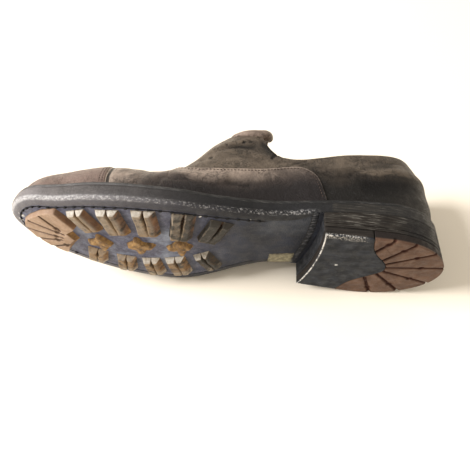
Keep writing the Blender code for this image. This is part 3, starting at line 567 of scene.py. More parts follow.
def make_vamp(paint):
    """Layer over the front of the upper, from its rear curve up to the seam and on under the cap.

    Each side is a grid of its own; ahead of the seam the two meet along the ridge.
    """
    behind = np.concatenate([np.linspace(VAMP_REAR, VAMP_CURVE, 40, endpoint=False),
                             np.linspace(VAMP_CURVE, VAMP_FRONT - 2, 150), VAMP_FRONT - EDGE_STEPS])

    def seam(x):
        return np.where(x > SEAM[-1][0], NO_CUT, seam_height(x))

    parts = []
    for side_sign, x in ((1, behind[::-1]), (-1, behind)):
        side = np.full(len(x), float(side_sign))
        turn = rows_to(side, along_side(x), turn_at(side, along_side(x), seam))
        point = last_point(side[:, None], along_side(x)[:, None], turn)
        slant = smoothstep(x, VAMP_SLANT, VAMP_FRONT)[:, None] * (cap_x(point[..., 2]) + CAP_LAP - VAMP_FRONT)
        ends = np.broadcast_to(VAMP_FRONT - x[:, None], turn.shape)
        parts.append(layer_walls(side, along_side(x[:, None] + slant), turn, (GAP, GAP + VAMP_THICK),
                                 ends=ends, bulge=0.0))
    return lasted_layer("vamp_layer", parts, paint, "vamp_leather", ("vamp",))


def make_cap(paint):
    """Toe cap: a thicker layer round the toe, from its slanted rear edge on one side to the other."""
    share = np.concatenate([EDGE_STEPS[::-1] / CAP_LENGTH, np.linspace(0.03, 1, 62)])
    side = np.concatenate([-np.ones(len(share) - 1), np.ones(len(share))])
    share = np.concatenate([share[:-1], share[::-1]])
    turn = np.broadcast_to(np.linspace(0, 1, 59) * RIGHT_ANGLE, (len(share), 59))
    edge = np.full(turn.shape, along_side(VAMP_FRONT))
    for _ in range(6):
        height = last_point(side[:, None], edge, turn)[..., 2]
        edge = along_side(cap_x(height) + GAP)
    s = edge + share[:, None] * (-1 - edge)
    ends = np.linalg.norm(last_point(side[:, None], s, turn) - last_point(side[:, None], edge, turn), axis=2)
    walls = layer_walls(side, s, turn, (GAP, GAP + CAP_THICK), ends=ends, bulge=0.0)
    return lasted_layer("cap_layer", [walls], paint, "cap_leather", ("toe_cap",))


def make_tongue(paint):
    """Flap under the throat that follows the last inside the wall, stands up and rolls over at its top.

    The grid runs along the flap and then round an arc; its lower face is the same grid moved in by the
    thickness, and both close on the middle at the edges.
    """
    standing = np.linspace(TONGUE_KICK_FROM, TONGUE_BEND, 8)[1:]
    x = np.append(np.linspace(TONGUE_FRONT, TONGUE_KICK_FROM, 70), standing)[:, None]
    offset = TONGUE_HALF * np.sin(np.linspace(-1, 1, TONGUE_COLUMNS) * RIGHT_ANGLE)[None, ::-1]
    narrow = np.where(offset > 0, *TONGUE_NARROW) * smoothstep(x, TONGUE_KICK_FROM + 22, TONGUE_BEND + 2)
    offset = (1 - narrow) * offset
    x, offset = np.broadcast_arrays(x, offset)
    sides = np.where(offset >= 0, 1.0, -1.0)
    reach = np.abs(swing(x) + sides * (half(x) - lip(x)) - ridge_y(x))
    turn = np.arccos(np.clip(np.abs(offset) / reach, 0, 1) ** (broad(x) / 2))
    foot_z = welt_top(x) + GAP
    z = foot_z + (ridge(x) - foot_z) * np.sin(turn) ** (2 / tall(x))
    flap = np.stack([x, ridge_y(x) + offset, z], axis=2)
    normal = np.cross(np.gradient(flap, axis=0), np.gradient(flap, axis=1))
    normal /= np.linalg.norm(normal, axis=2, keepdims=True)
    flap = flap - (WALL + 2 * GAP) * normal * np.sign(normal[..., 2:])
    flap[..., 2] += TONGUE_KICK * np.clip((TONGUE_KICK_FROM - x) / (TONGUE_KICK_FROM - TONGUE_BEND), 0, 1)
    middle = TONGUE_COLUMNS // 2
    run = (flap[-1] - flap[-2])[middle] * (1, 0, 1)
    run /= np.linalg.norm(run)
    down = np.array([-run[2], 0.0, run[0]])
    arc = np.linspace(0, ROLL_TURN, 30)[1:, None]
    roll = ROLL_RADIUS * (np.sin(arc) * run + (1 - np.cos(arc)) * down)
    grid = np.concatenate([flap, flap[-1][None] + roll[:, None, :]])
    normal = np.cross(np.gradient(grid, axis=0), np.gradient(grid, axis=1))
    normal /= np.linalg.norm(normal, axis=2, keepdims=True)
    normal *= np.sign(normal[len(x) // 2, middle, 2])
    borders = grid[:1], grid[-1:], grid[:, :1], grid[:, -1:]
    edge = np.min([np.linalg.norm(grid - border, axis=2) for border in borders], axis=0)
    body = rounding_off(edge, 1.4)[..., None]
    uneven = (0.3 * ripple(grid[..., 0] + grid[..., 2], grid[..., 1], 17, 4))[..., None]
    rows, columns = grid.shape[:2]
    rolled = smoothstep(np.arange(rows), len(flap), rows - 12)[:, None, None]
    thick = TONGUE_THICK + (ROLL_RADIUS - 0.2 - TONGUE_THICK) * rolled
    rest = thick * (0.5 + 0.5 * rolled)
    walls = [grid + (uneven - rest + rest * body) * normal,
             grid + (uneven - rest - (thick - rest) * body) * normal]
    upper = grid_triangles(rows, columns)
    lower = grid_triangles(rows, columns, start=rows * columns)[:, ::-1]
    inside = np.concatenate([np.zeros(rows * columns), smoothstep(edge, 0.0, 1.0).ravel()])
    return piece("tongue_flap", np.concatenate(walls), np.concatenate([upper, lower]), paint,
                 "tongue_leather", ("tongue",), inside=inside, crease=0.0, edge=np.concatenate([edge, edge]),
                 above=OVER_SHEEN_LINE)


def make_lip(paint):
    """Rolled edge of the tongue folded over the facing: a circle of changing radius carried along a bent
    middle line, drawn in to a point at both ends, and a sheet that crowns from that line over to the middle
    of the flap."""
    knots = np.array(LIP)
    along = np.linspace(0, len(knots) - 1, 70)
    line = np.column_stack([curve_through(np.arange(len(knots)), knots[:, k])(along) for k in range(4)])
    ahead = np.gradient(line[:, :3], axis=0)
    ahead /= np.linalg.norm(ahead, axis=1, keepdims=True)
    out = np.cross(ahead, [0.0, 0.0, 1.0])
    out /= np.linalg.norm(out, axis=1, keepdims=True)
    up = np.cross(out, ahead)
    turn = np.linspace(0, 2 * math.pi, 36, endpoint=False)
    from_end = np.minimum(along, along[-1] - along)
    closing = rounding_off(from_end, LIP_CLOSING)
    radius = (line[:, 3] * closing)[:, None] * (1 + 0.05 * np.sin(3 * turn + along[:, None]))
    points = (line[:, None, :3] + radius[..., None] * (np.cos(turn)[None, :, None] * out[:, None, :]
                                                        + np.sin(turn)[None, :, None] * up[:, None, :]))
    # painted shade on one side of the fold and a painted highlight on the other
    fold_shade = np.broadcast_to(0.5 * np.cos(turn + 1.2) ** 8 * np.sign(np.cos(turn + 1.2)), points.shape[:2])
    x = np.maximum(line[:, 0], TONGUE_BEND)
    kick = TONGUE_KICK * np.clip((TONGUE_KICK_FROM - x) / (TONGUE_KICK_FROM - TONGUE_BEND), 0, 1)
    middle = np.column_stack([x, ridge_y(x) + SHEET_END, ridge(x) + kick - WALL - SHEET_SINK])
    out_share = np.linspace(0, 1, 16)
    share = np.append(out_share, out_share[::-1])
    sheet = line[:, None, :3] + share[None, :, None] * (middle - line[:, :3])[:, None]
    crown = SHEET_CROWN * np.sin(math.pi * share) - np.repeat([0.0, TONGUE_THICK], len(out_share))
    sheet[..., 2] += closing[:, None] * crown
    triangles = np.concatenate([grid_triangles(*points.shape[:2], wrap_columns=True),
                                grid_triangles(*sheet.shape[:2], wrap_columns=True, start=fold_shade.size)])
    points = np.concatenate([points.reshape(-1, 3), sheet.reshape(-1, 3)])
    crease = np.append(fold_shade.ravel(), np.zeros(len(points) - fold_shade.size))
    return piece("tongue_lip", points, triangles, paint, "tongue_leather", inside=0.0, crease=crease,
                 edge=FAR_FROM_EDGE, above=OVER_SHEEN_LINE)


def swept_ring(s, profile):
    """Points round the whole sole, outer side then inner; profile gives them for (side, s) columns."""
    side, s = round_the_last(s)
    return profile(side[:, None], s[:, None])


RING = round_columns(60, 260, 70)


def make_welt(paint):
    """Strip all round: a section with rounded outer corners carried round the outline."""
    corner = np.linspace(0, RIGHT_ANGLE, 6)
    round_by = 1.1
    inset = np.concatenate([[WELT_RUN_IN, 6.0], WELT_INSET + round_by * (1 - np.sin(corner)),
                            WELT_INSET + 0.35 + round_by * (1 - np.cos(corner[1:])), [8.0, WELT_RUN_IN]])
    height = np.concatenate([[0.0, 0.0], -round_by * (1 - np.cos(corner)),
                             -WELT_THICK + round_by * (1 - np.sin(corner[1:])), [-WELT_THICK, -WELT_THICK]])

    def section(side, s):
        x, y = foot_line(side, s, np.minimum(inset, lip(foot_line(side, s, 0.0)[0]) + 9.0))
        wave = 0.12 * ripple(x, y, 9, 5)
        return np.stack(np.broadcast_arrays(x, y, welt_top(x) + height + wave), -1)

    points = swept_ring(RING, section)
    triangles = grid_triangles(*points.shape[:2], wrap_rows=True, wrap_columns=True)
    return piece("welt_strip", points, triangles, paint, "welt_leather", ("welt",))


STITCH_INSET = 10.2       # sole stitching, in from the edge of the outsole


def make_outsole(paint):
    """Leather sole: a section carried round the outline, from the middle of the upper face out to the
    side, round the lower edge and back along the flat to the middle, with a channel for the stitching."""
    edge = smooth_path(SOLE_EDGE[::-1], 22)
    flat = STITCH_INSET + np.array([-0.8, -0.5, -0.25, 0.0, 0.25, 0.5, 0.8, 1.4])
    middle = np.linspace(1, 0, 26)[1:]

    def section(side, s):
        sole_x = foot_line(side, s, 0.0)[0]
        fore = smoothstep(sole_x, WAIST_FROM, WAIST_FROM + WAIST_RUN)
        top = welt_top(sole_x) - WELT_THICK - SOLE_GAP
        inset = edge[:, 0] * fore + edge[:, 2] * (1 - fore)
        rise = edge[:, 1] * fore + edge[:, 3] * (1 - fore)
        insets = np.concatenate([inset, np.broadcast_to(flat, (len(s), len(flat)))], axis=1)
        x, y = foot_line(side, s, insets)
        z = under(x)
        z[:, :len(edge)] += rise
        channel = np.exp(-((insets - STITCH_INSET) / 0.35) ** 4) * fore * smoothstep(x, 124, 130)
        z = z + 0.6 * channel
        walls = []
        for share in (0.0, 0.33, 0.66):
            walls.append(np.stack([x[:, :1], y[:, :1], top + share * (z[:, :1] - top)], -1))
        core_x = np.clip(x[:, -1:], HEEL_ROUND, TOE_ROUND)
        core_y = swing(core_x)
        flat_x = core_x + middle * (x[:, -1:] - core_x)
        flat_y = core_y + middle * (y[:, -1:] - core_y)
        bottom = np.stack([flat_x, flat_y, under(flat_x)], -1)
        spine = np.stack([core_x, core_y, welt_top(core_x) - WELT_THICK - SOLE_GAP], -1)
        return np.concatenate([spine] + walls + [np.stack([x, y, z], -1), bottom], axis=1)

    points = swept_ring(RING, section)
    triangles = grid_triangles(*points.shape[:2], wrap_rows=True)
    insets = np.concatenate([[0, 0, 0, 0], edge[:, 0], flat, 12 + 30 * (1 - middle)])
    inset = np.broadcast_to(insets, points.shape[:2])
    rise = points[..., 2] - under(points[..., 0])
    shade = np.zeros_like(rise)
    for lug in OUTER_LUGS + INNER_LUGS:
        along, aside, length = lug_place(lug, points[..., 0], points[..., 1])[:3]
        behind = smoothstep(aside - lug.width / 2, 7.0, 1.0) * smoothstep(aside, 0.0, 2.0)
        shade = np.maximum(shade, behind * smoothstep(along, -4, 1) * smoothstep(along - length, 3, -3))
    return piece("leather_sole", points, triangles, paint, "sole_leather", ("outsole",), inset=inset.ravel(),
                 rise=rise.ravel(), shade=shade.ravel())


def under_block(name, x, y, height, paint, slot, replaces=(), around=False, **marks):
    """Block on the lower face of the outsole: a grid in plan standing off by height at each point.

    around says that the columns close into a ring about a hub, which is the first row. Its seat is the
    same grid set a little into the sole.
    """
    rows, columns = x.shape
    count = rows * columns
    tread = np.stack([x, y, under(x) - height], -1).reshape(-1, 3)
    seat = np.stack([x, y, under(x) + 0.2], -1).reshape(-1, 3)
    faces = [grid_triangles(rows, columns, wrap_columns=around),
             grid_triangles(rows, columns, wrap_columns=around, start=count)[:, ::-1]]
    if around:
        outer_ring = np.arange(count - columns, count)
        faces.append(strip(np.append(outer_ring, outer_ring[0]), count))
    else:
        faces.append(strip(rim_of(rows, columns), count)[:, ::-1])
    marks = {mark: np.tile(np.broadcast_to(value, x.shape).ravel(), 2) for mark, value in marks.items()}
    return piece(name, np.concatenate([tread, seat]), np.concatenate(faces), paint, slot, replaces, **marks)


def soft_least(values, softness):
    """The least of several arrays, with the change-over rounded off."""
    values = np.stack(np.broadcast_arrays(*values))
    low = values.min(axis=0)
    return low - softness * np.log(np.exp(-(values - low) / softness).sum(axis=0))


def lug_place(lug, x, y):
    """Where points in plan lie about a bar lug: their distance along it and, towards the heel, aside."""
    run = np.array([lug.x_mid - lug.x_edge, lug.y_mid - lug.y_edge])
    length = np.linalg.norm(run)
    ahead = run / length
    rear = 1 if ahead[1] > 0 else -1
    along = (x - lug.x_edge) * ahead[0] + (y - lug.y_edge) * ahead[1]
    aside = rear * ((y - lug.y_edge) * ahead[0] - (x - lug.x_edge) * ahead[1])
    return along, aside, length, ahead, rear


def make_bar_lug(name, lug, paint, node):
    """Two bars with a notch between them: a level top cut off by a slope on every side.

    The height is the soft least of the top, the slopes that rise from the four edges of the foot, and
    the two faces of the notch. The corners of the foot are drawn in.
    """
    length, ahead, rear = lug_place(lug, 0.0, 0.0)[2:]
    outer = lug.y_edge > lug.y_mid
    reach = lug.width / 2 + LUG_DRAFT
    u = np.linspace(-LUG_DRAFT, length + LUG_DRAFT, 68)[:, None]
    v = np.linspace(-reach, reach, 56)[None, :]
    u, v = np.broadcast_arrays(u, v)
    share = np.clip(u / length, 0, 1)
    to_edge, to_mid = u + LUG_DRAFT, length + LUG_DRAFT - u
    drawn_in = 1 - 0.16 * smoothstep(to_mid if outer else to_edge, 4.0, 0.0) ** 2
    x = lug.x_edge + u * ahead[0] - rear * v * drawn_in * ahead[1]
    y = lug.y_edge + u * ahead[1] + rear * v * drawn_in * ahead[0]
    wobble = 0.35 * ripple(x, y, 11, 6)
    to_front, to_rear = reach + v, reach - v
    near, far = (1.8, 2.6) if outer else (2.0, 3.0)
    if outer:
        notch_half = 1.4 - 0.8 * share
        notch_low = 0.1 + 0.75 * smoothstep(share, 0.25, 0.9)
    else:
        notch_half = 0.7 + 0.9 * np.exp(-((share - 0.8) / 0.14) ** 2)
        notch_low = 0.15 + 0.5 * np.exp(-((share - 0.42) / 0.16) ** 2)
    in_notch = notch_low + (1 - notch_low) * np.abs(v + wobble) / notch_half
    slopes = [to_edge / near, to_mid / far, (to_front + wobble) / 1.4, (to_rear + wobble) / 3.6]
    height = soft_least([np.ones_like(u)] + slopes + [np.maximum(in_notch, 0.06)], 0.07)
    height = LUG_HEIGHT * np.clip(height, 0.04, 1) + 0.06 * ripple(x, y, 3.4, 7)
    bright, other = slopes[:2] if outer else slopes[1::-1]
    least = np.minimum(np.minimum(slopes[2], slopes[3]), in_notch)
    # the end slope that faces up as the shoe lies: painted pale as wear and as painted light
    end = smoothstep(np.minimum(least, 1.1) - bright, -0.08, 0.12)
    # painted shade on the rear slope
    flank = smoothstep(np.minimum(np.minimum(bright, other), 1.05) - slopes[3], -0.05, 0.5)
    by_notch = smoothstep(np.abs(v), 3.6, 0.8)
    glint = np.maximum(np.exp(-((slopes[2] - 1) / 0.35) ** 2), np.exp(-((v - notch_half) / 0.5) ** 2))
    glint = glint * smoothstep(share, 0.95, 0.8) if outer else 0.4 * glint
    if outer:
        # front side painted pale as painted light, together with the painted glint
        pale = np.maximum(0.55 * smoothstep(v, 0.0, -1.5) * (1 - 0.5 * share), 0.8 * glint)
        amber = np.maximum(0.5 * by_notch, 0.7 * smoothstep(share, 0.72, 0.95))
        dirt = lug.dirt * (1 - 0.5 * smoothstep(share, 0.72, 1.0) * smoothstep(v, 3.0, -3.0)) - 0.6 * glint
    else:
        pale = smoothstep(share, 0.36, 0.14)
        amber = 0.6 * smoothstep(share, 0.2, 0.45)
        dirt = lug.dirt - 0.3 * pale
    # notch: the notch, and on the toe plate its grooves, painted dark as painted shade
    return under_block(name, x, y, height, paint, "tread_rubber", (node,), end=end * lug.white, pale=pale,
                       flank=flank, plate=0.0, dirt=dirt, notch=smoothstep(in_notch, 0.7, 0.3), amber=amber)


def make_star_lug(name, star, paint, node):
    """Low dome with four uneven points: the reach in plan swells with the cosine of twice the turn, the
    height falls from the middle to the rim and dips between the points."""
    turn = np.linspace(0, 2 * math.pi, 120, endpoint=False)[None, :]
    point = np.cos(2 * turn) ** 2
    uneven = 1 + 0.10 * np.sin(3 * turn + star.x) + 0.07 * np.sin(5 * turn + star.y)
    reach = 1.1 * star.waist + (star.reach - 1.1 * star.waist) * point ** 1.6
    share = np.linspace(0, 1, 22)[:, None]
    x = star.x + share * reach * uneven * np.cos(turn + STAR_TURN)
    y = star.y + share * reach * uneven * np.sin(turn + STAR_TURN)
    crown = np.clip((1 - share) * reach / 2.4, 0, 1)
    height = LUG_HEIGHT * soft_least([crown, 0.95 - 0.35 * share * (1 - point), np.ones_like(x)], 0.14)
    height = np.clip(height, 0.1, None) + 0.35 * ripple(x, y, 4.5, 8) * smoothstep(share, 1.0, 0.8)
    # painted shade on the sloping rim
    flank = smoothstep(share * reach, reach - 2.6, reach - 1.4)
    return under_block(name, x, y, height, paint, "tread_rubber", (node,), around=True, end=0.0, pale=0.0,
                       flank=0.5 * flank, plate=0.0, dirt=star.dirt, notch=0.0, amber=1.0)


def reach_of(outline, hub, turn):
    """Distance of an outline of straight runs from the hub, for each turn."""
    corners = np.array(outline) - hub
    angle = np.arctan2(corners[:, 1], corners[:, 0])
    order = np.argsort(angle)
    a = np.append(angle[order], angle[order][0] + 2 * math.pi)
    r = np.hypot(*corners.T)[order]
    r = np.append(r, r[0])
    turn = a[0] + np.mod(turn - a[0], 2 * math.pi)
    k = np.clip(np.searchsorted(a, turn, side="right") - 1, 0, len(a) - 2)
    return r[k] * r[k + 1] * np.sin(a[k + 1] - a[k]) / (
        r[k] * np.sin(turn - a[k]) + r[k + 1] * np.sin(a[k + 1] - turn))


def cut_grooves(x, y, grooves, cut):
    """Depth share of straight grooves, 1 in their middle, with a round swelling part of the way out."""
    depth = np.zeros_like(x)
    for groove in grooves:
        away = to_path(x, y, [groove[:2], groove[2:]])
        knob = np.array(groove[:2]) + cut.knob * (np.array(groove[2:]) - groove[:2])
        round_away = np.hypot(x - knob[0], y - knob[1]) - cut.half * 0.9
        shallow = smoothstep(np.minimum(away, round_away), cut.half * 0.5, cut.half * 1.25)
        depth = np.maximum(depth, 1 - shallow)
    return depth


def make_toe_tread(paint):
    """Fan-shaped plate: rings about its hub out to an outline of straight runs, level on top, with a
    steep front edge, wide slopes behind and grooves that run out from the hub."""
    turn = np.linspace(-math.pi, math.pi, 600, endpoint=False)[None, :]
    reach = reach_of(TOE_OUTLINE, TOE_HUB, turn)
    smooth = np.ones(7) / 7
    reach = np.convolve(np.concatenate([reach[0, -3:], reach[0], reach[0, :3]]), smooth, "valid")[None, :]
    share = np.linspace(0, 1, 76)[:, None]
    x = TOE_HUB[0] + share * reach * np.cos(turn)
    y = TOE_HUB[1] + share * reach * np.sin(turn)
    rear = smoothstep(-np.cos(turn), -0.15, 0.35)
    away = (1 - share) * reach
    slope = away / (1.0 + 2.4 * rear)
    groove = cut_grooves(x, y, TOE_GROOVES, TOE_CUT)
    height = LUG_HEIGHT * np.clip(soft_least([slope, np.ones_like(x)], 0.06), 0.05, 1)
    height = np.maximum(height - TOE_CUT.depth * groove, 0.12) + 0.05 * ripple(x, y, 5, 9)
    # painted shade on the slopes, most on those behind
    flank = smoothstep(1 - slope, -0.05, 0.25) * (0.3 + 0.7 * rear)
    amber = 0.7 * flank * rear * smoothstep(y, 4.0, -8.0)
    return under_block("toe_plate", x, y, height, paint, "tread_rubber", ("toe_tread",), around=True,
                       end=0.0, pale=0.0, flank=flank, plate=1.0, dirt=-0.6, notch=groove, amber=amber)


def heel_outline():
    """Outline of the heel: the sole's outline behind the breast, then the hollow breast across."""
    s = np.concatenate([np.linspace(along_side(BREAST), 1, 56, endpoint=False), np.linspace(1, 2, 80)])
    outer = np.column_stack(foot_line(1, s, 0.0))
    inner = np.column_stack(foot_line(-1, s, 0.0))[-2::-1]
    return outer, inner


def breast_line(count):
    """The hollow front of the heel from the inner to the outer side."""
    y = np.linspace(-half(BREAST), half(BREAST), count)[1:-1]
    return np.column_stack([BREAST - BREAST_HOLLOW * (1 - (y / half(BREAST)) ** 2), y])


def moved_in(outline, distance):
    """A closed outline moved inwards along its normals."""
    along = np.roll(outline, -1, axis=0) - np.roll(outline, 1, axis=0)
    normal = np.column_stack([-along[:, 1], along[:, 0]])
    normal /= np.linalg.norm(normal, axis=1, keepdims=True)
    area = np.sum(outline[:, 0] * np.roll(outline[:, 1], -1) - np.roll(outline[:, 0], -1) * outline[:, 1])
    return outline + np.reshape(distance, (-1, 1)) * np.sign(area) * normal


def make_heel_layer(name, outline, centre, low, high, paint, slot, node, rings=3, grooves=(), wave=0.1):
    """Slab of the heel: an outline carried from a lower to an upper face with rounded corners; both
    faces run in to a centre, and grooves are cut up into the lower one."""
    corner = np.linspace(0, RIGHT_ANGLE, 4)
    round_by = 0.6
    low_rim = [(round_by * (1 - math.sin(t)), round_by * (1 - math.cos(t)), 0) for t in corner]
    high_rim = [(round_by * (1 - math.cos(t)), -round_by * (1 - math.sin(t)), 1) for t in corner]
    rows = []
    for share in np.linspace(0, 1, rings)[:-1]:
        plan = centre + share * (moved_in(outline, round_by) - centre)
        rows.append(np.column_stack([plan, low(plan[:, 0])]))
    for inset, rise, up in low_rim + [(0.0, 0.0, share) for share in (0.25, 0.5, 0.75)] + high_rim:
        plan = moved_in(outline, inset + wave * ripple(outline[:, 0] + 40 * up, outline[:, 1], 13, 10))
        base, top = low(plan[:, 0]), high(plan[:, 0])
        rows.append(np.column_stack([plan, base + up * (top - base) + rise]))
    hub = np.broadcast_to(centre, outline.shape)
    rows.append(np.column_stack([hub, high(hub[:, 0])]))
    points = np.stack(rows)
    depth = np.zeros(points.shape[:2])
    if grooves:
        reach = rings + 3
        depth[:reach] = cut_grooves(points[:reach, :, 0], points[:reach, :, 1], grooves, HEEL_CUT)
        points[:reach, :, 2] += HEEL_CUT.depth * depth[:reach]
    triangles = grid_triangles(*points.shape[:2], wrap_columns=True)
    under_side = np.zeros(points.shape[:2])
    under_side[:rings + 1] = 1
    rim = np.zeros(points.shape[:2])
    rim[rings - 1:rings + 2] = 1
    return piece(name, points, triangles, paint, slot, (node,), groove=depth, tread=under_side, rim=rim)


def level(z):
    """Height function of a flat face."""
    return lambda x: np.full(np.shape(x), float(z))


def make_heel(lift_paint, leather_paint, rubber_paint):
    """Two lifts and the two halves of the top piece, one above the other."""
    outer, inner = heel_outline()
    whole = np.concatenate([outer, inner, breast_line(60)])
    middle = np.array([45.0, 0.0])
    make_heel_layer("heel_lift_upper", whole, middle, level(LIFT_LINE + 0.1), lambda x: under(x) - SOLE_GAP,
                    lift_paint, "heel_leather", "heel_lift_1")
    make_heel_layer("heel_lift_lower", whole, middle, level(TOP_PIECE + 0.1), level(LIFT_LINE - 0.1),
                    lift_paint, "heel_leather", "heel_lift_2")
    split = smooth_path(HEEL_SPLIT, 120)
    split_x = HEEL_SPLIT[0][0]
    front = np.concatenate([outer[outer[:, 0] > split_x + 0.6], split[1:-1] + (0.25, 0),
                            inner[inner[:, 0] > split_x + 0.6], breast_line(60)])
    make_heel_layer("top_piece_leather", front, np.array([64.0, 0.0]), level(0.02), level(TOP_PIECE - 0.1),
                    leather_paint, "top_leather", "heel_top_leather", rings=30)
    back = np.concatenate([outer[outer[:, 0] < split_x - 0.3], inner[inner[:, 0] < split_x - 0.3],
                           split[::-1]])
    make_heel_layer("top_piece_rubber", back, np.array([12.0, 0.0]), level(0.02), level(TOP_PIECE - 0.1),
                    rubber_paint, "heel_rubber", "heel_top_rubber", rings=110, grooves=HEEL_GROOVES,
                    wave=0.05)


Stitch = namedtuple("Stitch", "step length thick")
SEAM_STITCH, CAP_STITCH = Stitch(2.5, 1.7, 0.75), Stitch(2.3, 1.5, 0.6)
WELT_STITCH, SOLE_STITCH = Stitch(3.4, 2.6, 0.9), Stitch(7.4, 3.0, 2.0)
SEAM_ROW = 2.2            # how far the row of stitches lies inside the seam
CAP_ROWS = 2.4, 4.4       # how far the two rows lie ahead of the cap's edge
WELT_ROW_FROM, WELT_ROW = 96.0, 0.55          # rear end of the row, and its place across the bare welt
SOLE_ROW_OUTER, SOLE_ROW_INNER = 127.0, 262.0     # rear ends of the sole's row on the two sides


def stitches(name, points, normals, stitch, paint, slot):
    """Row of thread: the same short rounded bead at each point, laid along the row.

    A bead's radius follows a flattened half ellipse along its length, and its lower half is sunk.
    """
    ahead = np.gradient(points, axis=0)
    ahead /= np.linalg.norm(ahead, axis=1, keepdims=True)
    across = np.cross(normals, ahead)
    across /= np.linalg.norm(across, axis=1, keepdims=True)
    t = np.linspace(-1, 1, 7)
    girth = stitch.thick / 2 * np.sqrt(np.clip(1 - np.abs(t) ** 3, 0, 1))
    turn = np.linspace(0, 2 * math.pi, 6, endpoint=False)
    bead = points[:, None, None] + (t * stitch.length / 2)[None, :, None, None] * ahead[:, None, None]
    bead = bead + (girth[:, None] * np.cos(turn))[None, ..., None] * across[:, None, None]
    bead = bead + (girth[:, None] * np.sin(turn))[None, ..., None] * normals[:, None, None]
    cells = grid_triangles(len(t), len(turn), wrap_columns=True)
    count = len(t) * len(turn)
    triangles = (cells[None] + count * np.arange(len(points))[:, None, None]).reshape(-1, 3)
    return piece(name, bead.reshape(-1, 3), triangles, paint, slot)


def spaced(path, step):
    """Points at even steps along a finely drawn path."""
    run = np.concatenate([[0], np.cumsum(np.linalg.norm(np.diff(path, axis=0), axis=1))])
    ts = np.arange(step / 2, run[-1], step)
    return np.stack([np.interp(ts, run, path[:, axis]) for axis in range(path.shape[1])], axis=1)


def on_layer(side, x, z, lift):
    """(points, normals) on a layer over the last at places given in side view."""
    side = np.full(len(x), float(side))
    s = along_side(x)
    turn = turn_at(side, s, lambda _: z)
    normal = normal_at(side, s, turn)
    base = last_point(side, s, turn)
    relief = creases(base, side, turn)[0]
    return base + (lift + relief)[:, None] * normal, normal


def make_stitching(thread, sole_thread):
    """Rows of thread along the seam of the vamp, the edge of the cap, the welt and the sole."""
    seam = smooth_path(SEAM, 400)
    along = np.gradient(seam, axis=0)
    aside = np.column_stack([along[:, 1], -along[:, 0]]) / np.linalg.norm(along, axis=1, keepdims=True)
    for label, side in (("outer", 1), ("inner", -1)):
        row = spaced(seam + SEAM_ROW * aside, SEAM_STITCH.step)
        keep = (row[:, 1] > welt_top(row[:, 0]) + 3) & (row[:, 1] < ridge(row[:, 0]) - 3)
        spot = on_layer(side, row[keep, 0], row[keep, 1], GAP + VAMP_THICK)
        stitches(f"seam_stitches_{label}", *spot, SEAM_STITCH, thread, "vamp_leather")
        for number, ahead in enumerate(CAP_ROWS, 1):
            height = np.linspace(22, 51, 300)
            row = spaced(np.column_stack([cap_x(height) + ahead, height]), CAP_STITCH.step)
            keep = (row[:, 1] > welt_top(row[:, 0]) + 2) & (row[:, 1] < ridge(row[:, 0]) - 0.5)
            spot = on_layer(side, row[keep, 0], row[keep, 1], GAP + CAP_THICK)
            stitches(f"cap_stitches_{label}_{number}", *spot, CAP_STITCH, thread, "cap_leather")
    side, s = round_the_last(np.linspace(-1, along_side(WELT_ROW_FROM), 2000))
    order = np.argsort(np.where(side > 0, -s, 10 + s))
    side, s = side[order], s[order]
    x, y = foot_line(side, s, lip(foot_line(side, s, 0.0)[0]) * WELT_ROW)
    row = spaced(np.column_stack([x, y, welt_top(x)]), WELT_STITCH.step)
    upward = np.broadcast_to([0.0, 0.0, 1.0], row.shape)
    stitches("welt_stitches", row, upward, WELT_STITCH, thread, "welt_leather")
    x, y = foot_line(side, s, STITCH_INSET)
    ahead = x > np.where(side > 0, SOLE_ROW_OUTER, SOLE_ROW_INNER)
    row = spaced(np.column_stack([x, y, under(x) - 0.1])[ahead], SOLE_STITCH.step)
    downward = np.broadcast_to([0.0, 0.0, -1.0], row.shape)
    stitches("sole_stitches", row, downward, SOLE_STITCH, sole_thread, "sole_leather")


# Wheel marks: first and last across the waist, pace, half width and height, and how their ends bow
MARK_FROM, MARK_TO, MARK_PACE, MARK_HALF, MARK_HEIGHT = -34.5, 36.5, 2.05, 0.62, 0.75
MARK_MIDDLE, MARK_REACH = 1.0, 36.0
MARK_FRONT, MARK_BACK, FRONT_BOW, BACK_BOW = 93.6, 88.0, 3.0, 3.6
PATCH_CORNERS = np.array([(114.7, -21.5), (95.1, -19.7), (92.7, -35.2), (113.6, -35.2)])
PATCH_LONG, PATCH_WIDE, PATCH_THICK = 20.0, 15.0, 0.35


def make_waist_marks(paint):
    """Pressed marks of a toothed wheel across the waist: ribs in a bowed row, each a grid whose height
    falls from its middle line to its ends and sides."""
    y = np.arange(MARK_FROM, MARK_TO, MARK_PACE)
    bow = ((y - MARK_MIDDLE) / MARK_REACH) ** 2
    front = MARK_FRONT + FRONT_BOW * bow
    back = MARK_BACK + BACK_BOW * bow
    u = np.linspace(-1, 1, 9)[:, None]
    v = np.linspace(-1, 1, 7)[None, :]
    rib = np.sqrt(np.clip((1 - u ** 4) * (1 - v ** 2), 0, 1))
    rows, columns = rib.shape
    x = ((front + back) / 2)[:, None, None] + ((front - back) / 2)[:, None, None] * u + 0 * v
    across = y[:, None, None] + MARK_HALF * v + 0 * u
    tread = np.stack([x, across, under(x) + 0.12 - MARK_HEIGHT * rib], -1)
    seat = np.stack([x, across, under(x) + 0.3], -1)
    cells = grid_triangles(rows, columns)
    wall = strip(rim_of(rows, columns), rib.size)[:, ::-1]
    one = np.concatenate([cells, cells[:, ::-1] + rib.size, wall])
    triangles = (one[None] + 2 * rib.size * np.arange(len(y))[:, None, None]).reshape(-1, 3)
    points = np.stack([tread, seat], 1).reshape(-1, 3)
    top = np.concatenate([rib.ravel(), np.zeros(rib.size)])
    return piece("wheel_marks", points, triangles, paint, "sole_leather", rib=np.tile(top, len(y)))


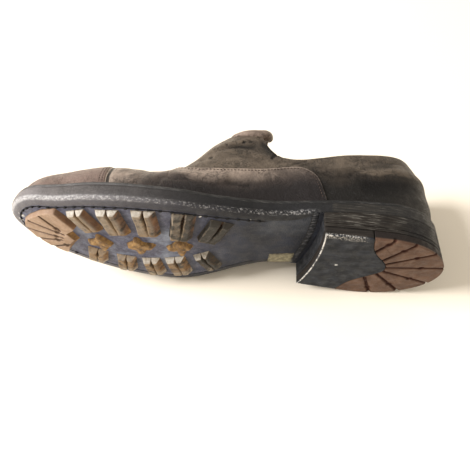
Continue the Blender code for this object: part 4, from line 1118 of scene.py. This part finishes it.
def make_waist_patch(paint):
    """Bare patch beside the wheel marks: a thin sheet between four corners, rounded off at its edge."""
    a = np.linspace(0, 1, 40)[:, None, None]
    b = np.linspace(0, 1, 30)[None, :, None]
    first, second, third, fourth = PATCH_CORNERS
    plan = (1 - a) * ((1 - b) * first + b * fourth) + a * ((1 - b) * second + b * third)
    edge = np.minimum(np.minimum(a, 1 - a) * PATCH_LONG, np.minimum(b, 1 - b) * PATCH_WIDE)[..., 0]
    height = PATCH_THICK * rounding_off(edge, 0.8) + 0.03 * ripple(plan[..., 0], plan[..., 1], 6, 11)
    return under_block("waist_patch", plan[..., 0], plan[..., 1], height, paint, "sole_leather", edge=edge)


def add(tree, kind, inputs=None, **settings):
    """A node with its settings, and its inputs given as values or linked sockets."""
    node = tree.nodes.new(kind)
    for key, value in settings.items():
        setattr(node, key, value)
    for key, value in (inputs or {}).items():
        if isinstance(value, bpy.types.NodeSocket):
            tree.links.new(value, node.inputs[key])
        else:
            node.inputs[key].default_value = value
    return node


def calc(tree, operation, a, b=0.0):
    """Socket with the outcome of one sum on one or two values."""
    return add(tree, "ShaderNodeMath", {0: a, 1: b}, operation=operation).outputs[0]


def blend(tree, share, a, b):
    """Socket with two colours mixed by a share."""
    colours = [c if isinstance(c, bpy.types.NodeSocket) else (*c, 1.0) for c in (a, b)]
    return add(tree, "ShaderNodeMix", {0: share, 6: colours[0], 7: colours[1]}, data_type="RGBA").outputs[2]


def between(tree, value, low, high, to_low=0.0, to_high=1.0):
    """Socket with a value mapped softly from one range to another."""
    inputs = {"Value": value, "From Min": low, "From Max": high, "To Min": to_low, "To Max": to_high}
    return add(tree, "ShaderNodeMapRange", inputs, interpolation_type="SMOOTHSTEP").outputs["Result"]


def noise(tree, place, scale, **inputs):
    """Socket with a noise of the given scale at each place."""
    return add(tree, "ShaderNodeTexNoise", {"Vector": place, "Scale": scale, **inputs}).outputs["Fac"]


def stretched(tree, place, by):
    """Socket with a place whose three coordinates are multiplied by those of a vector."""
    return add(tree, "ShaderNodeVectorMath", {0: place, 1: by}, operation="MULTIPLY").outputs[0]


def new_group(name, output, **inputs):
    """Empty shader group that reads a place and named values and puts out one value.

    Returns its tree, its input node and its output node.
    """
    tree = bpy.data.node_groups.new(name, "ShaderNodeTree")
    tree.interface.new_socket("Vector", in_out="INPUT", socket_type="NodeSocketVector")
    for label, value in inputs.items():
        kind = "NodeSocketVector" if isinstance(value, tuple) else "NodeSocketFloat"
        tree.interface.new_socket(label, in_out="INPUT", socket_type=kind).default_value = value
    tree.interface.new_socket(output, in_out="OUTPUT", socket_type="NodeSocketFloat")
    return tree, tree.nodes.new("NodeGroupInput"), tree.nodes.new("NodeGroupOutput")


def grain_group():
    """Leather grain: cells of a Voronoi pattern broken up by noise, as a height."""
    tree, inside, outside = new_group("leather_grain", "Height", Scale=1.0)
    place, scale = inside.outputs["Vector"], inside.outputs["Scale"]
    cells = add(tree, "ShaderNodeTexVoronoi", {"Vector": place, "Scale": scale, "Randomness": 1.0},
                feature="DISTANCE_TO_EDGE")
    fine = noise(tree, place, calc(tree, "MULTIPLY", scale, 2.6), Detail=4.0, Roughness=0.6)
    height = calc(tree, "ADD", between(tree, cells.outputs["Distance"], 0.0, 0.25, 0.0, 0.6), fine)
    tree.links.new(height, outside.inputs["Height"])
    return tree


def patches_group():
    """Uneven patches: noise at several sizes, cut softly between two levels, as a mask."""
    tree, inside, outside = new_group("patches", "Mask", Scale=0.1, Low=0.4, High=0.6)
    uneven = noise(tree, inside.outputs["Vector"], inside.outputs["Scale"], Detail=5.0, Roughness=0.62)
    mask = between(tree, uneven, inside.outputs["Low"], inside.outputs["High"])
    tree.links.new(mask, outside.inputs["Mask"])
    return tree


def streaks_group():
    """Streaks and scratches: noise stretched by a vector, cut softly between two levels, as a mask."""
    tree, inside, outside = new_group("streaks", "Mask", Stretch=(1.0, 1.0, 1.0), Low=0.5, High=0.7)
    drawn = stretched(tree, inside.outputs["Vector"], inside.outputs["Stretch"])
    uneven = noise(tree, drawn, 1.0, Detail=3.0, Roughness=0.7)
    mask = between(tree, uneven, inside.outputs["Low"], inside.outputs["High"])
    tree.links.new(mask, outside.inputs["Mask"])
    return tree


def wrinkles_group():
    """Fine wrinkles: lines where a warped noise passes its middle value, stronger in patches, as a mask."""
    tree, inside, outside = new_group("wrinkles", "Mask", Scale=0.2)
    place, scale = inside.outputs["Vector"], inside.outputs["Scale"]
    drawn = stretched(tree, place, (0.8, 1.0, 1.15))
    warped = noise(tree, drawn, scale, Detail=4.0, Roughness=0.55, Distortion=0.6)
    off = calc(tree, "ABSOLUTE", calc(tree, "SUBTRACT", warped, 0.5))
    line = between(tree, off, 0.06, 0.0)
    broad = noise(tree, place, calc(tree, "MULTIPLY", scale, 0.3))
    mask = calc(tree, "MULTIPLY", line, between(tree, broad, 0.36, 0.6))
    tree.links.new(mask, outside.inputs["Mask"])
    return tree


GRAIN, PATCHES, STREAKS, WRINKLES = grain_group(), patches_group(), streaks_group(), wrinkles_group()


class Finish:
    """One material: its node tree, the shoe coordinates it reads and its shader."""

    def __init__(self, name, **shader):
        self.material = bpy.data.materials.new(name)
        self.material.use_nodes = True
        self.tree = self.material.node_tree
        self.shader = self.tree.nodes["Principled BSDF"]
        for key, value in shader.items():
            self.shader.inputs[key.replace("_", " ").title().replace("Ior", "IOR")].default_value = value
        self.place = add(self.tree, "ShaderNodeAttribute", attribute_name="shoe").outputs["Vector"]
        axes = add(self.tree, "ShaderNodeSeparateXYZ", {0: self.place})
        self.x, self.y, self.z = axes.outputs

    def group(self, group, output, **inputs):
        """What a shader group puts out at each place of the shoe."""
        node = self.tree.nodes.new("ShaderNodeGroup")
        node.node_tree = group
        self.tree.links.new(self.place, node.inputs["Vector"])
        for key, value in inputs.items():
            node.inputs[key].default_value = value
        return node.outputs[output]

    def patches(self, scale, low, high):
        return self.group(PATCHES, "Mask", Scale=scale, Low=low, High=high)

    def streaks(self, stretch, low, high):
        return self.group(STREAKS, "Mask", Stretch=stretch, Low=low, High=high)

    def spot(self, place, reach):
        """Soft uneven spot about a place."""
        ends = {0: self.place, 1: place}
        away = add(self.tree, "ShaderNodeVectorMath", ends, operation="DISTANCE").outputs["Value"]
        away = self.plus(away, self.times(self.patches(0.6, 0.2, 0.8), reach))
        return self.between(away, 1.3 * reach, 0.8 * reach)

    def wrinkles(self, scale):
        return self.group(WRINKLES, "Mask", Scale=scale)

    def grain(self, scale):
        return self.group(GRAIN, "Height", Scale=scale)

    def blend(self, share, a, b):
        return blend(self.tree, share, a, b)

    def over(self, colour, mask, strength, tone):
        """Colour with a tone laid over it at a strength, where the mask is."""
        return self.blend(self.times(mask, strength), colour, tone)

    def mottled(self, scale, low, high, first, second):
        """Two tones in patches."""
        return self.blend(self.patches(scale, low, high), first, second)

    def uneven(self, scale, low, high):
        """Roughness that changes between two values in patches."""
        return self.between(self.patches(scale, 0.3, 0.7), 0.0, 1.0, low, high)

    def times(self, a, b):
        return calc(self.tree, "MULTIPLY", a, b)

    def plus(self, a, b):
        return calc(self.tree, "ADD", a, b)

    def between(self, value, low, high, to_low=0.0, to_high=1.0):
        return between(self.tree, value, low, high, to_low, to_high)

    def mark(self, name):
        """Value kept on the mesh."""
        return add(self.tree, "ShaderNodeAttribute", attribute_name=name).outputs["Fac"]

    def done(self, colour, roughness, height, strength, distance=0.0003):
        """Material with its colour, roughness and relief linked up."""
        relief = {"Height": height, "Strength": strength, "Distance": distance}
        normal = add(self.tree, "ShaderNodeBump", relief).outputs["Normal"]
        for key, socket in (("Base Color", colour), ("Roughness", roughness), ("Normal", normal)):
            self.tree.links.new(socket, self.shader.inputs[key])
        return self.material


def srgb(red, green, blue):
    """A colour as read off a photograph, 0 to 255, as linear light."""
    values = np.array([red, green, blue]) / 255
    return tuple(np.where(values <= 0.04045, values / 12.92, ((values + 0.055) / 1.055) ** 2.4))


def upper_finish(name, dark, mid, light, coat, spread=(4.0, 14.0), band=(400.0, 401.0), lit_rub_reach=(18.0, 8.0)):
    """Waxed brown leather: nearly black under the sheen line, lighter over it as a painted sheen, with
    painted shade in the creases and fine wrinkles, painted highlights on the folds and along the cut edge,
    and a band along its edge between two distances from the heel painted lighter, partly rubbed wear and
    partly painted highlight; with a fine grain."""
    f = Finish(name, coat_weight=coat, coat_roughness=0.3, specular_ior_level=0.12)
    above = f.plus(f.mark("above"), f.times(f.patches(0.07, 0.2, 0.8), 7.0))
    # lighter over the sheen line: a painted sheen
    colour = f.blend(f.between(above, -6.0, 5.0), dark, mid)
    pale = f.blend(f.between(f.patches(0.10, 0.3, 0.75), 0.0, 1.0, 0.45, 1.0), mid, light)
    colour = f.over(colour, f.between(above, *spread), 0.85, pale)
    # band by the edge painted lighter: partly rubbed wear, partly a painted highlight
    to_edge = f.plus(f.mark("edge"), f.times(f.patches(0.08, 0.2, 0.8), 4.0))
    rubbed = f.times(f.between(to_edge, *lit_rub_reach), f.between(f.x, *band))
    colour = f.over(colour, rubbed, 0.85, f.mottled(0.14, 0.15, 0.6, pale, light))
    # painted highlight along the rounded cut edge
    colour = f.over(colour, f.between(f.mark("edge"), 2.4, 0.6), 0.5, light)
    crease = f.mark("crease")
    # painted highlight on the raised folds
    colour = f.over(colour, f.between(crease, -0.05, -0.6), 0.7, light)
    wrinkle = f.wrinkles(0.2)
    # painted shade in the fine wrinkles
    colour = f.over(colour, wrinkle, 0.5, dark)
    colour = f.over(colour, f.patches(0.30, 0.48, 0.70), 0.2, dark)
    colour = f.over(colour, f.patches(0.9, 0.40, 0.70), 0.22, dark)
    # painted shade in the creases
    colour = f.over(colour, f.between(crease, 0.05, 1.0), 0.92, srgb(16, 14, 14))
    lining = f.mottled(0.09, 0.35, 0.7, srgb(140, 110, 84), srgb(112, 86, 64))
    colour = f.blend(f.mark("inside"), colour, lining)
    grain = f.grain(1.5)
    rough = f.between(f.plus(f.patches(0.14, 0.3, 0.75), f.times(grain, 0.2)), 0.0, 1.2, 0.38, 0.58)
    height = f.plus(f.times(grain, 0.35), f.plus(f.patches(0.22, 0.2, 0.8), f.times(wrinkle, -1.0)))
    return f.done(colour, rough, height, 0.7, 0.0007)


# Marks on the sole, place and reach: dark smudges at the end of the stitching, and white specks
SOLE_SMUDGES = [((133.1, 26.3, 12.0), 3.0), ((128.5, 25.6, 12.7), 2.4), ((137.4, -39.8, 11.5), 2.2)]
SOLE_SPECKS = [((300.3, -11.1, 16.4), 3.2), ((303.3, -18.4, 17.3), 2.6), ((170.6, 29.9, 6.7), 1.4),
               ((137.2, 27.0, 11.4), 1.3)]
HEEL_SPECK = (69.3, 0.3, 0.0), 1.8


def sole_finish():
    """Blackened sole leather: dusty blue-grey flat under the ball with a painted pool of light and painted
    shadows behind the lugs, dark waist with a painted sheen, a paler bevel between the stitch line and the
    edge, an edge paler towards the toe, partly worn and partly painted light, and painted darker towards the
    heel's back as painted shade, and a torn silvery corner that is most worn towards the toe."""
    f = Finish("sole_leather", specular_ior_level=0.3)
    inset, rise = f.mark("inset"), f.mark("rise")
    # towards the toe the edge and the bevel turn paler: partly wear, partly painted light
    toe = f.between(f.x, 150.0, 290.0)
    fore = f.between(f.x, 90.0, 100.0)
    fine = f.patches(0.8, 0.3, 0.7)
    colour = f.mottled(0.06, 0.38, 0.68, srgb(29, 33, 45), srgb(44, 50, 66))
    dust = f.mottled(0.22, 0.3, 0.7, srgb(69, 70, 90), srgb(105, 108, 132))
    dust = f.over(dust, f.patches(0.5, 0.5, 0.7), 0.6, srgb(126, 131, 146))
    colour = f.blend(f.between(f.x, 132.0, 205.0), colour, dust)
    # painted pool of light on the flat
    light_pool = f.times(f.patches(0.045, 0.46, 0.68), f.between(inset, 12.0, 22.0))
    light_pool = f.times(light_pool, f.between(f.x, 140.0, 190.0))
    colour = f.over(colour, light_pool, 0.8, srgb(156, 166, 186))
    colour = f.over(colour, f.mark("shade"), 0.75, srgb(38, 38, 46))
    colour = f.over(colour, f.streaks((0.10, 0.5, 0.5), 0.52, 0.74), 0.12, srgb(102, 104, 114))
    # lighter zone on the waist: a painted sheen
    waist = f.times(f.between(f.x, 91.0, 98.0), f.between(f.x, 134.0, 120.0))
    waist = f.times(waist, f.between(f.y, 2.0, 14.0))
    waist_sheen_tone = f.mottled(0.2, 0.3, 0.7, srgb(62, 66, 74), srgb(90, 95, 104))
    colour = f.over(colour, waist, 0.55, waist_sheen_tone)
    side = calc(f.tree, "MAXIMUM", f.between(rise, 1.6, 4.0), f.between(inset, 2.0, 1.0))
    edge_dark = f.mottled(0.08, 0.4, 0.7, srgb(22, 22, 24), srgb(32, 32, 35))
    edge_pale = f.mottled(0.12, 0.4, 0.7, srgb(75, 70, 69), srgb(102, 97, 96))
    edge_pale = f.over(edge_pale, f.patches(1.2, 0.45, 0.7), 0.5, srgb(134, 127, 126))
    # painted light on the very front of the edge
    edge_pale = f.blend(f.between(f.x, 262.0, 292.0, 0.0, 0.6), edge_pale, srgb(136, 130, 131))
    stacked = f.blend(f.streaks((0.04, 0.04, 1.6), 0.38, 0.62), srgb(24, 23, 22), srgb(52, 48, 44))
    stacked = f.over(stacked, f.streaks((0.07, 0.07, 2.2), 0.56, 0.68), 0.6, srgb(112, 108, 102))
    # painted shade: the heel's edge darker towards its back
    stacked = f.blend(f.between(f.x, 52.0, 26.0, 0.0, 0.7), stacked, srgb(24, 24, 27))
    edge_dark = f.blend(f.between(f.x, 84.0, 82.0), edge_dark, stacked)
    colour = f.blend(side, colour, f.blend(toe, edge_dark, edge_pale))
    bevel = f.times(f.times(f.between(inset, 9.4, 8.4), f.between(rise, 4.0, 1.6)), fore)
    bevel_tone = f.mottled(0.15, 0.35, 0.7, srgb(25, 25, 28), srgb(40, 41, 45))
    bevel_tone = f.over(bevel_tone, toe, 0.9, srgb(112, 109, 112))
    colour = f.over(colour, bevel, 0.85, bevel_tone)
    colour = f.over(colour, fine, 0.25, srgb(30, 30, 33))
    corner = f.times(f.times(f.between(inset, 4.2, 2.4), f.between(rise, 3.4, 2.0)), fore)
    haze = f.times(corner, f.between(f.x, 160.0, 260.0, 0.0, 0.45))
    colour = f.blend(haze, colour, srgb(148, 145, 147))
    torn = f.plus(f.patches(5.0, 0.30, 0.70), f.times(f.streaks((0.5, 0.5, 1.2), 0.3, 0.7), 0.8))
    sparse = f.plus(f.between(f.x, 105.0, 150.0, 1.08, 1.17), f.between(f.x, 190.0, 285.0, 0.0, -0.41))
    flecks = f.between(f.plus(torn, f.times(sparse, -1.0)), 0.0, 0.40)
    colour = f.over(colour, f.times(corner, flecks), 0.9, srgb(204, 202, 203))
    from_line = calc(f.tree, "ABSOLUTE", f.plus(inset, -STITCH_INSET))
    line = f.times(f.between(from_line, 1.2, 0.5), f.between(f.x, 122.0, 128.0))
    colour = f.over(colour, line, 0.9, srgb(18, 18, 22))
    for spot, reach in SOLE_SMUDGES:
        colour = f.over(colour, f.spot(spot, reach), 0.8, srgb(18, 18, 22))
    for spot, reach in SOLE_SPECKS:
        colour = f.blend(f.spot(spot, reach), colour, srgb(226, 224, 220))
    rough = f.uneven(0.12, 0.42, 0.66)
    fibre = f.plus(f.patches(0.7, 0.3, 0.7), f.grain(1.1))
    fibre = f.plus(f.times(f.streaks((0.25, 2.2, 2.2), 0.3, 0.8), 0.4), fibre)
    return f.done(colour, rough, fibre, 0.5)


def mark_finish():
    """Pressed marks across the waist: grey on the raised ribs as a painted highlight, near black beside them
    as painted shade.
    """
    f = Finish("wheel_marks", specular_ior_level=0.35)
    # grey tone of the rib tops, a painted highlight
    worn = f.mottled(0.3, 0.4, 0.65, srgb(66, 67, 72), srgb(124, 125, 130))
    colour = f.blend(f.between(f.mark("rib"), 0.6, 0.95), srgb(8, 8, 9), worn)
    rough = f.uneven(0.4, 0.35, 0.6)
    return f.done(colour, rough, f.grain(1.6), 0.3)


# Tones of the tread, one over the other: mark, strength, patches as scale and levels, and two colours
TREAD_TONES = [
    ("plate", 0.8, (0.10, 0.35, 0.7), (158, 128, 103), (184, 154, 130)),
    # painted shade on the slopes
    ("flank", 1.0, (0.15, 0.35, 0.7), (100, 70, 49), (132, 96, 68)),
    ("amber", 0.85, (0.3, 0.36, 0.66), (112, 81, 42), (174, 135, 78)),
    # pale: on the outer lugs painted light on the front faces and the glint
    ("pale", 1.0, (0.3, 0.35, 0.7), (142, 126, 106), (178, 164, 144)),
    # the ends that face up: worn pale and painted lit
    ("end", 1.0, (0.4, 0.35, 0.65), (208, 202, 192), (176, 166, 152)),
]


def tread_finish():
    """Amber crepe rubber: dusty caramel tops, pale ends worn and painted lit, slopes painted brown as painted
    shade, notches and grooves painted dark as painted shade, a painted highlight on the front faces and
    glints, and ground-in dirt.
    """
    f = Finish("tread_rubber", specular_ior_level=0.3)
    colour = f.mottled(0.16, 0.35, 0.68, srgb(116, 102, 88), srgb(144, 128, 112))
    for name, strength, patch, first, second in TREAD_TONES:
        tone = f.mottled(*patch, srgb(*first), srgb(*second))
        colour = f.over(colour, f.mark(name), strength, tone)
    colour = f.over(colour, f.patches(0.7, 0.35, 0.75), 0.3, srgb(92, 76, 60))
    soiled = f.between(f.plus(f.times(f.mark("dirt"), 0.8), f.patches(0.16, 0.40, 0.72)), 0.45, 1.4)
    soiled = f.times(soiled, f.between(f.mark("end"), 0.0, 0.6, 1.0, 0.2))
    colour = f.over(colour, soiled, 0.92, srgb(33, 34, 33))
    # painted shade in the notches and the toe plate's grooves
    colour = f.over(colour, f.mark("notch"), 0.9, srgb(62, 40, 22))
    rough = f.uneven(0.25, 0.45, 0.7)
    return f.done(colour, rough, f.plus(f.patches(0.7, 0.3, 0.7), f.grain(2.4)), 0.4)


def lift_finish():
    """Side of the stacked heel: dark stained fibre in level lines, scuffed pale in places."""
    f = Finish("heel_lifts", specular_ior_level=0.14)
    colour = f.blend(f.streaks((0.05, 0.05, 1.4), 0.38, 0.64), srgb(28, 25, 23), srgb(46, 41, 37))
    scuffs = f.times(f.streaks((0.07, 0.07, 2.2), 0.54, 0.68), f.patches(0.06, 0.38, 0.58))
    colour = f.over(colour, scuffs, 0.8, srgb(150, 146, 138))
    colour = f.over(colour, f.streaks((0.05, 0.05, 1.6), 0.50, 0.64), 0.55, srgb(82, 78, 73))
    # painted shade: darker towards the back of the heel
    colour = f.blend(f.between(f.x, 44.0, 22.0, 0.0, 0.7), colour, srgb(24, 25, 29))
    breast = f.mottled(0.2, 0.35, 0.7, srgb(32, 33, 36), srgb(58, 59, 63))
    colour = f.blend(f.times(f.between(f.x, 79.0, 81.5), f.between(f.y, 35.0, 33.0)), colour, breast)
    rough = f.uneven(0.1, 0.40, 0.62)
    fibre = f.plus(f.streaks((0.04, 0.04, 2.2), 0.3, 0.7), f.times(f.grain(1.2), 0.4))
    return f.done(colour, rough, fibre, 0.6)


def top_leather_finish():
    """Leather half of the heel's top piece: mottled dark grey with faint streaks and a white worn rim."""
    f = Finish("top_leather", specular_ior_level=0.16)
    colour = f.mottled(0.12, 0.36, 0.68, srgb(27, 31, 37), srgb(49, 53, 61))
    colour = f.over(colour, f.streaks((0.06, 0.5, 0.4), 0.52, 0.66), 0.6, srgb(22, 22, 23))
    colour = f.over(colour, f.patches(0.8, 0.4, 0.7), 0.35, srgb(24, 24, 26))
    side = f.between(f.z, 0.7, 1.6)
    side_tone = f.blend(f.streaks((0.05, 0.05, 1.4), 0.4, 0.65), srgb(30, 27, 25), srgb(48, 43, 40))
    colour = f.blend(side, colour, side_tone)
    front = f.times(f.times(f.mark("rim"), f.between(f.x, 83.5, 85.0)), f.patches(0.35, 0.33, 0.56))
    corner = f.times(f.between(f.z, 2.6, 0.6), f.between(f.x, 56.0, 66.0))
    corner = f.times(f.between(f.y, 32.5, 35.5), corner)
    worn = f.plus(f.times(front, 0.85), f.times(f.patches(1.1, 0.48, 0.62), f.times(corner, 0.75)))
    colour = f.blend(f.between(worn, 0.0, 1.0), colour, srgb(214, 210, 204))
    colour = f.blend(f.spot(*HEEL_SPECK), colour, srgb(200, 200, 198))
    rough = f.uneven(0.15, 0.45, 0.68)
    return f.done(colour, rough, f.plus(f.grain(0.9), f.streaks((0.1, 1.2, 0.6), 0.3, 0.7)), 0.5)


def heel_rubber_finish():
    """Rubber half of the heel's top piece: dull brown, dark red-brown in the grooves, black at its side."""
    f = Finish("heel_rubber", specular_ior_level=0.18)
    colour = f.mottled(0.08, 0.36, 0.68, srgb(84, 62, 50), srgb(108, 83, 68))
    colour = f.over(colour, f.patches(0.3, 0.55, 0.72), 0.5, srgb(62, 45, 37))
    # painted shade in the grooves
    colour = f.blend(f.between(f.mark("groove"), 0.1, 0.7), colour, srgb(60, 30, 20))
    side = f.between(f.z, 1.0, 2.4)
    colour = f.blend(f.times(side, f.between(f.mark("tread"), 0.9, 0.1)), colour, srgb(34, 28, 26))
    rough = f.uneven(0.2, 0.45, 0.7)
    return f.done(colour, rough, f.plus(f.patches(0.9, 0.3, 0.7), f.grain(2.0)), 0.35)


def welt_finish():
    """Welt: dark waxed strip, rubbed to grey on its rounded edge towards the toe, where it is also painted
    lighter as painted light, and painted darker towards the heel as painted shade.
    """
    f = Finish("welt_leather", specular_ior_level=0.45)
    # towards the toe the welt turns grey: partly rubbed wear, partly painted light
    toe = f.between(f.x, 150.0, 290.0)
    plain = f.mottled(0.12, 0.38, 0.66, srgb(26, 26, 27), srgb(40, 40, 41))
    # painted shade: darker towards the heel
    plain = f.blend(f.between(f.x, 130.0, 60.0), plain, srgb(20, 20, 22))
    rubbed = f.mottled(0.12, 0.38, 0.66, srgb(66, 62, 61), srgb(92, 87, 85))
    colour = f.over(plain, toe, 0.8, rubbed)
    colour = f.over(colour, f.streaks((0.12, 0.12, 1.0), 0.5, 0.68), 0.4, srgb(104, 101, 99))
    rough = f.uneven(0.14, 0.4, 0.6)
    return f.done(colour, rough, f.grain(1.6), 0.4)


def thread_finish(name, dark, light):
    """Waxed thread: two tones along its twist."""
    f = Finish(name, specular_ior_level=0.3)
    colour = f.mottled(0.4, 0.35, 0.65, dark, light)
    rough = f.uneven(0.5, 0.55, 0.8)
    return f.done(colour, rough, f.streaks((3.0, 1.0, 3.0), 0.3, 0.7), 0.6)


def patch_finish():
    """Bare patch of pale gilt paper, rubbed through at its edges."""
    f = Finish("waist_patch", specular_ior_level=0.4)
    colour = f.mottled(0.3, 0.38, 0.66, srgb(108, 101, 76), srgb(158, 151, 124))
    worn = f.times(f.between(f.mark("edge"), 2.4, 0.4), f.patches(0.4, 0.35, 0.6))
    colour = f.blend(worn, colour, srgb(70, 64, 54))
    rough = f.uneven(0.3, 0.35, 0.6)
    return f.done(colour, rough, f.grain(1.8), 0.3)


def insole_finish():
    """Insole board covered with tan leather; its pattern lies on Object coordinates."""
    f = Finish("insole_leather", specular_ior_level=0.35)
    spot = add(f.tree, "ShaderNodeTexCoord").outputs["Object"]
    broad = noise(f.tree, spot, 60.0, Detail=5.0)
    colour = f.blend(f.between(broad, 0.35, 0.65), srgb(140, 106, 76), srgb(172, 136, 102))
    rough = f.between(broad, 0.3, 0.7, 0.5, 0.7)
    return f.done(colour, rough, noise(f.tree, spot, 900.0, Detail=3.0), 0.3)


FLOOR_REACH = 3.0         # half the side of the floor, in metres


def make_floor():
    """Plain pale floor, a wide flat sheet under the shoe."""
    f = Finish("floor", specular_ior_level=0.2)
    broad = noise(f.tree, add(f.tree, "ShaderNodeTexCoord").outputs["Object"], 3.0)
    colour = f.blend(broad, (0.93, 0.85, 0.73), (0.95, 0.87, 0.75))
    paint = f.done(colour, f.between(broad, 0.3, 0.7, 0.8, 0.9), broad, 0.02)
    corners = FLOOR_REACH * np.array([(-1, -1, 0), (1, -1, 0), (1, 1, 0), (-1, 1, 0)])
    mesh = bpy.data.meshes.new("floor")
    mesh.from_pydata(corners.tolist(), [], [(0, 1, 2, 3)])
    floor = bpy.data.objects.new("floor", mesh)
    mesh.materials.append(paint)
    bpy.context.scene.collection.objects.link(floor)


# Camera of the photograph: turns of its axes in the shoe's frame and its place, and its focal length
VIEW_TURN, VIEW_TILT, VIEW_ROLL = 0.0821760, 0.5573663, -0.0801686
VIEW_SHIFT = np.array([141.8301, -30.4337, -295.2355])
FOCAL_PIXELS, IMAGE_PIXELS, SENSOR = 400.0, 470.0, 36.0


def make_camera():
    """Camera from its axes in the shoe's frame, carried to the row frame."""
    ca, sa = math.cos(VIEW_TURN), math.sin(VIEW_TURN)
    ce, se = math.cos(VIEW_TILT), math.sin(VIEW_TILT)
    cr, sr = math.cos(VIEW_ROLL), math.sin(VIEW_ROLL)
    axes = np.array([(-ca, sa, 0), (se * sa, se * ca, ce), (ce * sa, ce * ca, -se)])
    axes = np.array([(cr, -sr, 0), (sr, cr, 0), (0, 0, 1)]) @ axes
    place = np.eye(4)
    place[:3, :3] = LYING @ axes.T
    place[:3, 3] = to_world(-axes.T @ VIEW_SHIFT)
    data = bpy.data.cameras.new("camera")
    data.sensor_width = SENSOR
    data.lens = SENSOR * FOCAL_PIXELS / IMAGE_PIXELS
    data.clip_start = 0.01
    camera = bpy.data.objects.new("camera", data)
    camera.matrix_world = Matrix(place.tolist())
    bpy.context.scene.collection.objects.link(camera)
    bpy.context.scene.camera = camera


# Key light: place and aim in metres, its side, power and colour; then the light of the room
KEY_PLACE, KEY_AIM, KEY_SIDE = np.array([-2.3, -0.24, 1.9]), np.array([0.0, 0.0, 0.03]), 1.1
KEY_POWER, KEY_COLOUR = 142.0, (1.0, 0.99, 0.98)
ROOM_COLOUR, ROOM_STRENGTH = (1.0, 0.93, 0.82, 1.0), 0.7


def make_light():
    """Soft studio light: a broad square key from the left, over the toe, in a warm white room."""
    back = (KEY_PLACE - KEY_AIM) / np.linalg.norm(KEY_PLACE - KEY_AIM)
    right = np.cross([0.0, 0.0, 1.0], back)
    right /= np.linalg.norm(right)
    turn = np.eye(4)
    turn[:3, :3] = np.column_stack([right, np.cross(back, right), back])
    turn[:3, 3] = KEY_PLACE
    data = bpy.data.lights.new("key", "AREA")
    data.size, data.energy, data.color = KEY_SIDE, KEY_POWER, KEY_COLOUR
    light = bpy.data.objects.new("key", data)
    light.matrix_world = Matrix(turn.tolist())
    bpy.context.scene.collection.objects.link(light)
    world = bpy.data.worlds.new("room")
    world.use_nodes = True
    sky = world.node_tree.nodes["Background"]
    sky.inputs["Color"].default_value = ROOM_COLOUR
    sky.inputs["Strength"].default_value = ROOM_STRENGTH
    bpy.context.scene.world = world
    bpy.context.scene.view_settings.view_transform = "Standard"


def main():
    """Dress every node, then set up the floor, the camera and the light."""
    make_quarters(upper_finish("quarter_leather", srgb(27, 25, 24), srgb(50, 44, 39), srgb(110, 98, 86), 0.1,
                               spread=(5.0, 22.0), band=(110.0, 135.0), lit_rub_reach=(90.0, 60.0)))
    make_vamp(upper_finish("vamp_leather", srgb(32, 28, 29), srgb(60, 52, 49), srgb(172, 155, 142), 0.2,
                           spread=(2.0, 20.0), band=(112.0, 170.0)))
    make_cap(upper_finish("cap_leather", srgb(80, 66, 60), srgb(106, 89, 82), srgb(140, 120, 111), 0.2,
                          spread=(12.0, 34.0)))
    tongue_paint = upper_finish("tongue_leather", srgb(64, 54, 48), srgb(108, 94, 85),
                                srgb(156, 138, 125), 0.1)
    make_tongue(tongue_paint)
    make_lip(tongue_paint)
    make_welt(welt_finish())
    make_outsole(sole_finish())
    tread = tread_finish()
    make_toe_tread(tread)
    for label, lugs in (("outer", OUTER_LUGS), ("inner", INNER_LUGS)):
        for k, lug in enumerate(lugs, 1):
            make_bar_lug(f"tread_lug_{label}_{k}", lug, tread, f"lug_{label}_{k}")
    for k, star in enumerate(CENTRE_LUGS, 1):
        make_star_lug(f"tread_lug_centre_{k}", star, tread, f"lug_centre_{k}")
    make_heel(lift_finish(), top_leather_finish(), heel_rubber_finish())
    make_stitching(thread_finish("dark_thread", srgb(40, 32, 28), srgb(74, 60, 52)),
                   thread_finish("sole_thread", srgb(16, 16, 18), srgb(30, 30, 32)))
    make_waist_marks(mark_finish())
    make_waist_patch(patch_finish())
    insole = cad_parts["insole"]
    insole.data.materials.clear()
    insole.data.materials.append(insole_finish())
    make_floor()
    make_camera()
    make_light()


main()
